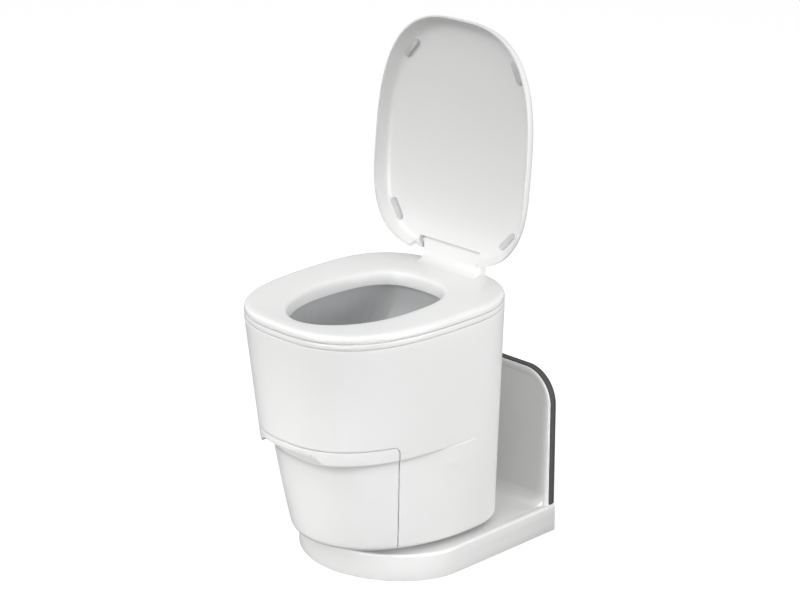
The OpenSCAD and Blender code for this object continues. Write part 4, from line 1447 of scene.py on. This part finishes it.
    def relief(self) -> Solid:
        """Room cut from the rim beside the hinge.

        Returns:
            A closed solid.
        """
        low, high, half = self.rim_z - 9, self.rim_z + self.relief_up, self.relief_half
        corners = [(-half - 6, low), (half + 6, low), (half, high), (-half, high)]
        return prism(
            "relief", corners, -self.past_rear, -self.relief_y, UPRIGHT, radius=3.0, segments=4
        )

    def lid(self) -> None:
        """Lid with its tray, lugs, collars and the pocket round the hinge block."""
        piece = self.lid_pile("lid_shell", self.lid_skin)
        carve(piece, self.relief(), Cut.AWAY)
        carve(piece, self.hump(), Cut.ADD)
        carve(piece, self.tray(-0.5), Cut.AWAY)
        carve(piece, self.pocket(), Cut.AWAY)
        y, z = self.pin_y, self.pin_z
        for side in (-1, 1):
            near, far = side * (self.block_half + 1), side * (self.pocket_half + 3)
            collar = rod("collar", self.collar_d, (near, y, z), (far, y, z), edge=0.8)
            carve(piece, collar, Cut.ADD)
        self.drill(piece, self.pin_reach, self.pin_d)
        self.swing_open(piece)
        polish(piece, angle=30, bevel=0.45)
        settle(piece, "lid", "seat_white", ["lid"])

    def pin(self) -> None:
        """Pin through the hinge block and the lid's two lugs."""
        y, z, reach = self.pin_y, self.pin_z, self.pin_reach - 0.5
        piece = rod("pin", self.pin_d - 0.2, (-reach, y, z), (reach, y, z), edge=0.5)
        polish(piece, angle=40)
        settle(piece, "lid", "steel", ["lid_pin"])

    def pad(self, here: Sequence[float], ahead: Sequence[float]) -> Solid:
        """Low oblong pad on the floor of the tray.

        Args:
            here: its middle, in mm.
            ahead: a point that its length runs towards.

        Returns:
            A closed solid.
        """
        a, b, low = self.pad_half, self.pad_w / 2, self.rim_z + self.pad_up
        turn = Matrix.Rotation(math.atan2(ahead[1] - here[1], ahead[0] - here[0]), 4, "Z")
        place = Matrix.Translation(Vector((here[0], here[1], 0)) * MM) @ turn
        corners = [(-a, -b), (a, -b), (a, b), (-a, b)]
        piece = prism("pad", corners, low, low + 12, place, radius=b - 0.05, edge=1.2, segments=10)
        return carve(piece, self.tray(-12), Cut.KEEP)

    def pads(self) -> None:
        """Four pads near the tray's corners, as one piece."""
        spots = self.cover.ring(-self.pad_inset, self.rim_z)
        first, *others = [self.pad(spots[k], spots[k + 3]) for k in self.pad_points]
        for pad in others:
            carve(first, pad, Cut.ADD)
        first.name = "lid_pads"
        self.swing_open(first)
        polish(first, angle=34)
        settle(first, "lid", "pad_rubber", ["lid_bumpers"])


# ---------------------------------------------------------------- bowl and films


@dataclass
class Liners:
    """Bowl, the film that lines it, folded film round it and bag in the bin. Sizes are in mm."""

    seating: Seating
    top: float = 470.2
    foot: float = 330.0
    wall: float = 2.6
    rim_z: float = 478.9
    rim_grow: Tuple[float, float] = (39.0, 42.0)
    mouth: float = 6.0
    slot: Oval = Oval(88.0, 53.0, -27.0, 5.0, 5.0, -40.0)
    narrowing: float = 1.8
    film_y: float = -40.0
    gap: float = 1.2
    lift: float = 1.2
    film: float = 0.8
    fold_depth: float = 1.1
    tail: float = 34.0
    tail_steps: Tuple[float, ...] = (0.0, 0.3, 0.65, 1.0)
    tube: Oval = Oval(83.0, 41.6, -38.4, 5.0, 5.0, -40.0)
    tube_wall: float = 1.0
    folds: int = 12
    folds_out: Tuple[float, float] = (34.0, 32.6)
    folds_in: Tuple[float, float] = (8.4, 7.0)
    bag_low: float = 76.3
    bag_high: float = 190.3
    bin_plan: Oval = Oval(94.0, 168.0, 54.0, 2.2, 7.0, 0.0)
    bag_y: float = -55.0
    bag_taper: float = 3.6
    bag_folds: float = 3.2
    bag_foot: Pile = ((11.8, 2.6), (10.6, 3.2), (9.9, 5))
    bag_rim: Pile = (
        (5.9, 2), (5.3, 1.6), (1.2, 1.6), (1.0, 1.2), (1.2, 0.9), (5.6, 0.9), (6.4, 1.4)
    )
    bag_floor: Pile = ((10.9, 6), (12.4, 3.7))

    def ring(self, grow: float, z: float) -> Ring:
        """Outline of the bowl.

        Args:
            grow: move outwards, in mm.
            z: height, in mm.

        Returns:
            The outline.
        """
        down = max(0.0, (self.top - z) / (self.top - self.foot)) ** self.narrowing
        mouth = self.seating.opening.ring(self.mouth + grow, z)
        return blend(mouth, self.slot.ring(grow, z), down, z)

    def bowl(self) -> None:
        """Bowl with its hanging rim."""
        heights = np.linspace(self.foot, self.top, 22)
        inner, outer = self.rim_grow
        under = self.top - self.wall
        rim = (
            (self.mouth + self.wall, under), (outer, under), (outer, self.rim_z),
            (inner, self.rim_z), (inner, self.top), (self.mouth, self.top),
        )
        rings = [self.ring(self.wall, z) for z in heights[:-1]]
        rings += [self.seating.opening.ring(grow, z) for grow, z in rim]
        rings += [self.ring(0, z) for z in heights[-2::-1]]
        piece = loft("bowl_shell", rings, closed=True)
        polish(piece, angle=40, bevel=0.3)
        settle(piece, "body", "bowl_grey", ["bowl"])

    def film_ring(self, grow: float, z: float) -> Ring:
        """Outline of the film where it lines the bowl, in soft folds.

        Args:
            grow: move outwards from the bowl's inside, in mm.
            z: height of the bowl there, in mm.

        Returns:
            The outline.
        """
        share = (self.top - z) / (self.top - self.foot)
        waves = ((0.25, 23, 2.2 * share), (0.25, 37, -3.1 * share))
        ring = self.ring(grow, z)
        ring[:, 2] += self.lift
        swell = math.sin(math.pi * min(1.0, share * 1.15))
        return in_folds(ring, self.film_y, waves, self.fold_depth, swell)

    def sleeve(self) -> None:
        """Film that lines the bowl and hangs below it as a flat tube."""
        tail, hole = self.foot - self.tail, self.seating.opening.ring
        out, back = -self.gap, -self.gap - self.film
        heights = np.linspace(self.foot, self.top, 26)
        low, slot = self.tube.ring(0, tail), self.slot.ring(out, 0)
        rings = [blend(low, slot, k, mix(tail, self.foot, k)) for k in self.tail_steps]
        rings += [self.film_ring(out, z) for z in heights[1:]]
        top = self.seating.body.seat_z - 2
        rings += [
            hole(self.mouth + out, top), hole(self.mouth + out - 0.4, top + 0.3),
            hole(self.mouth + back, top),
        ]
        rings += [self.film_ring(back, z) for z in heights[:0:-1]]
        end = tail + self.film
        low, slot = self.tube.ring(-self.tube_wall, end), self.slot.ring(back, 0)
        rings += [blend(low, slot, k, mix(end, self.foot, k)) for k in self.tail_steps[::-1]]
        piece = loft("liner_sleeve", rings)
        polish(piece, angle=60)
        settle(piece, "body", "liner", ["liner_film"])

    def cassette(self) -> None:
        """Folded film in its ring under the seat."""
        hole, count = self.seating.opening.ring, self.folds
        low, high = self.top + 0.3, self.seating.body.seat_z - 3
        rings = [
            hole(out if i % 2 == 0 else back, mix(start, end, i / count))
            for (out, back), start, end in ((self.folds_out, low, high), (self.folds_in, high, low))
            for i in range(count + 1)
        ]
        piece = loft("folded_film", rings, closed=True)
        polish(piece, angle=60)
        settle(piece, "body", "liner", ["film_cassette"])

    def slack(self, start: float, low: float, k: float) -> Ring:
        """Outline of the bag where it hangs in slack folds.

        Args:
            start: inset at the bottom, in mm.
            low: height at the bottom, in mm.
            k: share of the way up.

        Returns:
            The outline.
        """
        inset, z = mix(start, start - self.bag_taper, k), mix(low, self.bag_high - 3, k)
        waves = ((0.3, 17, 3 * k), (0.2, 29, -5 * k))
        swell = math.sin(math.pi * k)
        return in_folds(self.bin_plan.ring(-inset, z), self.bag_y, waves, self.bag_folds, swell)

    def bag(self) -> None:
        """Bag that lines the bin, slack and folded over the rim."""
        low, high, plan = self.bag_low, self.bag_high, self.bin_plan.ring
        shares = [float(k) for k in np.linspace(0.08, 0.94, 16)]
        rings = [plan(-inset, low + up) for inset, up in self.bag_foot]
        rings += [self.slack(9.7, low + 6, k) for k in shares]
        rings += [plan(-inset, high - down) for inset, down in self.bag_rim]
        rings += [self.slack(10.5, low + 7, k) for k in reversed(shares)]
        rings += [plan(-inset, low + up) for inset, up in self.bag_floor]
        piece = loft("bin_lining", rings)
        polish(piece, angle=60)
        settle(piece, "bin", "bag", ["bin_bag"])


# ---------------------------------------------------------------- base


@dataclass
class Stand:
    """Plinth with the upright back panel, and the seal round it. Sizes are in mm."""

    half: float = 180.0
    front: float = 153.0
    plan_n: float = 1.9
    thick: float = 52.0
    edge: float = 5.0
    panel_y: float = 251.0
    panel_t: float = 17.0
    panel_half: float = 175.0
    panel_top: float = 317.0
    panel_r: float = 64.0
    panel_lip: Pile = ((0, 3.0), (0.5, 1.3), (1.6, 0.3), (3.2, 0))
    rim: float = 11.0
    recess: float = 4.0
    fillet: float = 26.0
    seal_t: float = 3.5
    seal_w: float = 13.0
    seal_section: Pile = ((0.3, 0.4), (0, 1.4))
    seal_lip: Pile = ((0, 5.2), (0.9, 4.6), (0.9, 3.8), (0, 3.2), (0, 0.8), (0.8, 0))
    groove: float = 1.0
    seal_feet: Tuple[float, float] = (30.0, 20.0)
    rebate_out: float = -12.0
    clear_x: float = 220.0
    clear_y: Tuple[float, float] = (200.0, 300.0)
    spindle_d: float = 50.1
    flange_d: float = 74.0
    duct_half: float = 8.0
    bolt_d: float = 8.5
    bolts_x: Tuple[float, float] = (-130.0, 130.0)
    bolts_y: Tuple[float, float] = (0.0, 190.0)
    inlet_d: float = 16.0
    inlet_y: float = 200.0
    inlet_z: float = 26.0

    @property
    def back(self) -> float:
        """Where the flat back of the panel lies."""
        return self.panel_y + self.panel_t

    def plan(self, inset: float, z: float) -> Ring:
        """Outline of the plinth seen from above.

        Args:
            inset: move inwards, in mm.
            z: height, in mm.

        Returns:
            The outline.
        """
        count = 128
        turn = np.radians(180 + 180 * np.arange(count + 1) / count)
        half = self.half - inset
        x = half * power(np.cos(turn), 2 / self.plan_n)
        y = (self.front - inset) * power(np.sin(turn), 2 / self.plan_n)
        points = [(a, b, z) for a, b in zip(x, y)]
        return np.array(points + [(half, self.back, z), (-half, self.back, z)])

    def arch(self, inset: float, y: float, foot: float = 40.0) -> Ring:
        """Outline of the panel seen from the front.

        Args:
            inset: move inwards, in mm.
            y: place along Y, in mm.
            foot: height of its level lower edge, in mm.

        Returns:
            The outline.
        """
        half, top, r = self.panel_half - inset, self.panel_top - inset, self.panel_r - inset
        turn = np.radians(np.linspace(0, 90, 25))
        right = [(half - r + r * math.cos(t), top - r + r * math.sin(t)) for t in turn]
        points = [(-half, foot), (half, foot)] + right + [(-x, z) for x, z in reversed(right)]
        return np.array([(x, y, z) for x, z in points])

    def hollow(self) -> Solid:
        """Solid of the rounded hollow between plinth and panel.

        Returns:
            A closed solid.
        """
        half, r, thick = self.panel_half - self.rim, self.fillet, self.thick
        face = self.panel_y + self.recess
        profile = [(face + 2, thick - 2), (face + 2, thick + r)]
        profile += [
            (face - r * (1 - math.cos(t)), thick + r * (1 - math.sin(t))) for t in sweep(90, 16)
        ]
        profile.append((face - r, thick - 2))
        return prism("hollow", profile, -half, half, ALONG_X, edge=1.5)

    def rebate(self) -> Solid:
        """Solid of the rebate for the seal, down to the plinth.

        Returns:
            A closed solid.
        """
        near, past = self.back - self.seal_w, self.back + 2
        (high, low), groove, out = self.seal_feet, self.groove, self.rebate_out
        corners = ((groove, near, high), (groove, past, high), (out, past, low), (out, near, low))
        ring = loft("rebate", [self.arch(*corner) for corner in corners], closed=True)
        return carve(ring, self.below(2), Cut.AWAY)

    def below(self, up: float) -> Solid:
        """Block that ends the seal above the plinth.

        Args:
            up: height of its top above the plinth, in mm.

        Returns:
            A closed solid.
        """
        start, end = self.clear_y
        return block("below", (-self.clear_x, start, 0), (self.clear_x, end, self.thick + up))

    def stand(self) -> None:
        """Plinth, panel and the hollow that joins them, with every bore."""
        e, y, rim, deep = self.edge, self.panel_y, self.rim, self.recess
        rings = [self.plan(i, z) for i, z in ((1.2, 0), (0.3, 0.4), (0, 1.4), (0, 18), (0, 34))]
        rings += [
            self.plan(e * (1 - math.cos(t)), self.thick - e * (1 - math.sin(t)))
            for t in sweep(90, 6)
        ]
        piece = loft("base_moulding", rings)
        steps = self.panel_lip + (
            (rim - 3, 0), (rim - 1.2, 0.4), (rim, 1.4),
            (rim + 1.2, deep - 0.9), (rim + 3.4, deep - 0.1), (rim + 7, deep),
        )
        pile = [self.arch(0, self.back)] + [self.arch(inset, y + back) for inset, back in steps]
        carve(piece, loft("panel", pile), Cut.ADD)
        carve(piece, self.hollow(), Cut.ADD)
        carve(piece, self.rebate(), Cut.AWAY)
        duct = self.duct_half
        for width, top in ((self.spindle_d, 60), (self.flange_d, 8)):
            carve(piece, rod("bore", width, (0, 0, -2), (0, 0, top), segments=96), Cut.AWAY)
        carve(piece, block("duct", (-duct, 0, -2), (duct, self.back + 2, 8)), Cut.AWAY)
        for x in self.bolts_x:
            for at in self.bolts_y:
                carve(piece, rod("bolt_hole", self.bolt_d, (x, at, -2), (x, at, 30)), Cut.AWAY)
        start = (-self.half - 2, self.inlet_y, self.inlet_z)
        end = (-self.half + 28, self.inlet_y, self.inlet_z)
        carve(piece, rod("inlet", self.inlet_d, start, end), Cut.AWAY)
        polish(piece, angle=32, bevel=0.5)
        settle(piece, "base", "base_white", ["base_stand"])

    def seal(self) -> None:
        """Rubber seal in the rebate round the panel, with a rounded outer lip."""
        back, near = self.back, self.back - self.seal_w
        inner, outer = self.groove, self.groove - self.seal_t
        high, low = self.seal_feet
        section = [(1.2, near)]
        section += [(inset, near + deep) for inset, deep in self.seal_section]
        section += [(inset, back - deep) for inset, deep in self.seal_lip]
        rings = [self.arch(inner, near + 0.1, high)]
        rings += [self.arch(outer + inset, y, low) for inset, y in section]
        piece = loft("seal_strip", rings + [self.arch(inner, back, high)], closed=True)
        carve(piece, self.below(2.2), Cut.AWAY)
        polish(piece, angle=40)
        settle(piece, "base", "seal_rubber", ["panel_seal"])


# ---------------------------------------------------------------- works inside


@dataclass
class Works:
    """Finishes of the CAD nodes that are kept. Angles are in degrees, bevels in mm."""

    hard: float = 35.0
    corner: float = 40.0
    weld: float = 1e-6
    bevels: Dict[str, float] = field(default_factory=lambda: {
        "top_frame": 0.5, "waste_bin": 0.6, "bin_handle": 0.8, "door_frame": 0.6,
        "fixed_jaw": 0.6, "moving_jaw": 0.6, "heater_bar": 0.2, "jaw_pad": 0.4,
        "sealer_frame": 0.4, "motor_bracket": 0.3, "chassis": 0.6, "start_button": 0.9,
        "button_bezel": 0.6, "guide_rods": 0.5, "pinion_shaft": 0.4, "turntable": 0.6,
        "slide_ring": 0.5, "casing_screws": 0.5, "control_board": 0.2, "jaw_motor": 0.8,
        "feed_motor": 0.6, "power_inlet": 0.4, "bin_runners": 0.6, "pinions": 0.15,
        "drive_gear": 0.15, "motor_gear": 0.15, "jaw_racks": 0.15, "feed_gear": 0.12,
        "pinch_gear": 0.12, "feed_roller": 0.5, "pinch_roller": 0.5, "swivel_spindle": 0.5,
        "spindle_nut": 0.5, "door_magnets": 0.3, "door_strikers": 0.3, "frame_screws": 0.3,
        "seat_buffers": 0.2,
    })

    def dress(self) -> None:
        """Gives every kept node its finish, smooth shading and softened edges."""
        slots = {item["node"]: item["material_slot"] for item in frame["record"]["subparts"]}
        for name, piece in frame["nodes"].items():
            PAINT.dress(piece, slots[name])
            if piece.hide_render:
                continue
            for face in piece.data.polygons:
                face.use_smooth = True
            piece.modifiers.new("weld", "WELD").merge_threshold = self.weld
            if name in self.bevels:
                soften(piece, self.bevels[name], self.corner)
            piece.data.set_sharp_from_angle(angle=math.radians(self.hard))
            log.info("%s keeps its solid and takes %s", name, slots[name])


# ---------------------------------------------------------------- studio


def aimed(thing: Solid, place: Vector, ahead: Vector) -> None:
    """Puts a camera or lamp in its place and turns it.

    Args:
        thing: object of the camera or lamp.
        place: where it stands, in m.
        ahead: direction that it points in.
    """
    thing.location = place
    thing.rotation_mode = "QUATERNION"
    thing.rotation_quaternion = ahead.to_track_quat("-Z", "Y")
    bpy.context.scene.collection.objects.link(thing)


@dataclass(frozen=True)
class Lamp:
    """Square soft lamp: sizes in m, power in watts and beam in degrees."""

    name: str
    place: Tuple[float, float, float]
    aim: Tuple[float, float, float]
    size: float
    watts: float
    beam: float = 180.0

    def hang(self) -> None:
        """Adds the lamp to the scene."""
        data = bpy.data.lights.new(self.name, "AREA")
        data.shape = "SQUARE"
        data.size = self.size
        data.energy = self.watts
        data.spread = math.radians(self.beam)
        place = Vector(self.place)
        aimed(bpy.data.objects.new(self.name, data), place, Vector(self.aim) - place)


@dataclass
class Studio:
    """Camera at the photograph's angle, pale floor, soft lamps and a white surround, in m."""

    azimuth: float = 45.44
    elevation: float = 19.65
    distance: float = 4.7229
    target: Tuple[float, float, float] = (0.0, 0.03544, 0.47335)
    lens: float = 117.05
    sensor: float = 36.0
    far: float = 50.0
    sky: float = 0.64
    floor_half: float = 6.0
    floor_tone: Colour = (0.12, 0.12, 0.12)
    floor_seen: Colour = (0.8, 0.8, 0.8)
    floor_glow: float = 0.45
    lamps: Tuple[Lamp, ...] = (
        Lamp("key", (-0.9, -1.9, 2.5), (0, 0, 0.3), 1.4, 27.0),
        Lamp("glow", (0.15, -2.5, 0.45), (0, 0, 0.12), 0.8, 1.35, beam=26.0),
        Lamp("side", (2.3, 0.45, 0.7), (0, 0, 0.25), 1.2, 32.0),
        Lamp("top", (0.2, 0.2, 3.2), (0, 0, 0.3), 2.6, 6.5),
    )

    def camera(self) -> None:
        """Places the camera."""
        a, e = math.radians(self.azimuth), math.radians(self.elevation)
        back = Vector((math.sin(a) * math.cos(e), -math.cos(a) * math.cos(e), math.sin(e)))
        data = bpy.data.cameras.new("camera")
        data.lens = self.lens
        data.sensor_width = self.sensor
        data.clip_end = self.far
        eye = bpy.data.objects.new("camera", data)
        aimed(eye, Vector(self.target) + back * self.distance, -back)
        bpy.context.scene.camera = eye

    def surround(self) -> None:
        """White world for the camera, and a softer one for the light."""
        world = bpy.data.worlds.new("surround")
        bpy.context.scene.world = world
        world.use_nodes = True
        tree = world.node_tree
        tree.nodes.clear()
        kinds = ("OutputWorld", "MixShader", "LightPath", "Math", "Background", "Background")
        out, swap, path, either, light, seen = [tree.nodes.new("ShaderNode" + k) for k in kinds]
        either.operation = "MAXIMUM"
        for shader, strength in ((light, self.sky), (seen, 1.0)):
            shader.inputs["Strength"].default_value = strength
            shader.inputs["Color"].default_value = (1, 1, 1, 1)
        for start, end in (
            (path.outputs["Is Camera Ray"], either.inputs[0]),
            (path.outputs["Is Transmission Ray"], either.inputs[1]),
            (either.outputs[0], swap.inputs["Fac"]),
            (light.outputs[0], swap.inputs[1]),
            (seen.outputs[0], swap.inputs[2]),
            (swap.outputs[0], out.inputs["Surface"]),
        ):
            tree.links.new(start, end)

    def floor(self) -> None:
        """Pale floor that keeps the object's shadow and is white to the camera."""
        bm = bmesh.new()
        bmesh.ops.create_grid(bm, x_segments=4, y_segments=4, size=self.floor_half)
        floor = to_object(bm, "floor")
        kit = Nodes("floor")
        kit.gloss(kit.noise(40.0), 0.85, 0.95)
        kit.fixed(Specular_IOR_Level=0.1)
        seen = kit.add("ShaderNodeLightPath").outputs["Is Camera Ray"]
        tone = kit.tones(seen, [(0.0, self.floor_tone), (1.0, self.floor_seen)])
        kit.link(tone, kit.shader.inputs["Base Color"])
        gain = kit.add("ShaderNodeMath", operation="MULTIPLY")
        gain.inputs[1].default_value = self.floor_glow
        kit.link(seen, gain.inputs[0])
        kit.link(gain.outputs[0], kit.shader.inputs["Emission Strength"])
        kit.shader.inputs["Emission Color"].default_value = (1, 1, 1, 1)
        floor.data.materials.append(kit.material)

    def build(self) -> None:
        """Sets up camera, surround and floor, and hangs the four lamps."""
        self.camera()
        self.surround()
        self.floor()
        for lamp in self.lamps:
            lamp.hang()
        bpy.context.scene.view_settings.view_transform = "Standard"


def main() -> None:
    """Builds every sub-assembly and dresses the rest."""
    logging.basicConfig(level=logging.INFO, format="%(name)s: %(message)s")
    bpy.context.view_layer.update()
    Studio().build()
    body, stand = Body(), Stand()
    seating = Seating(body)
    liners = Liners(seating)
    for build in (
        body.casing, body.door, seating.seat, seating.lid, seating.pads, seating.pin,
        liners.bowl, liners.sleeve, liners.cassette, liners.bag, stand.stand, stand.seal,
        Works().dress,
    ):
        build()


if __name__ == "__main__":
    main()
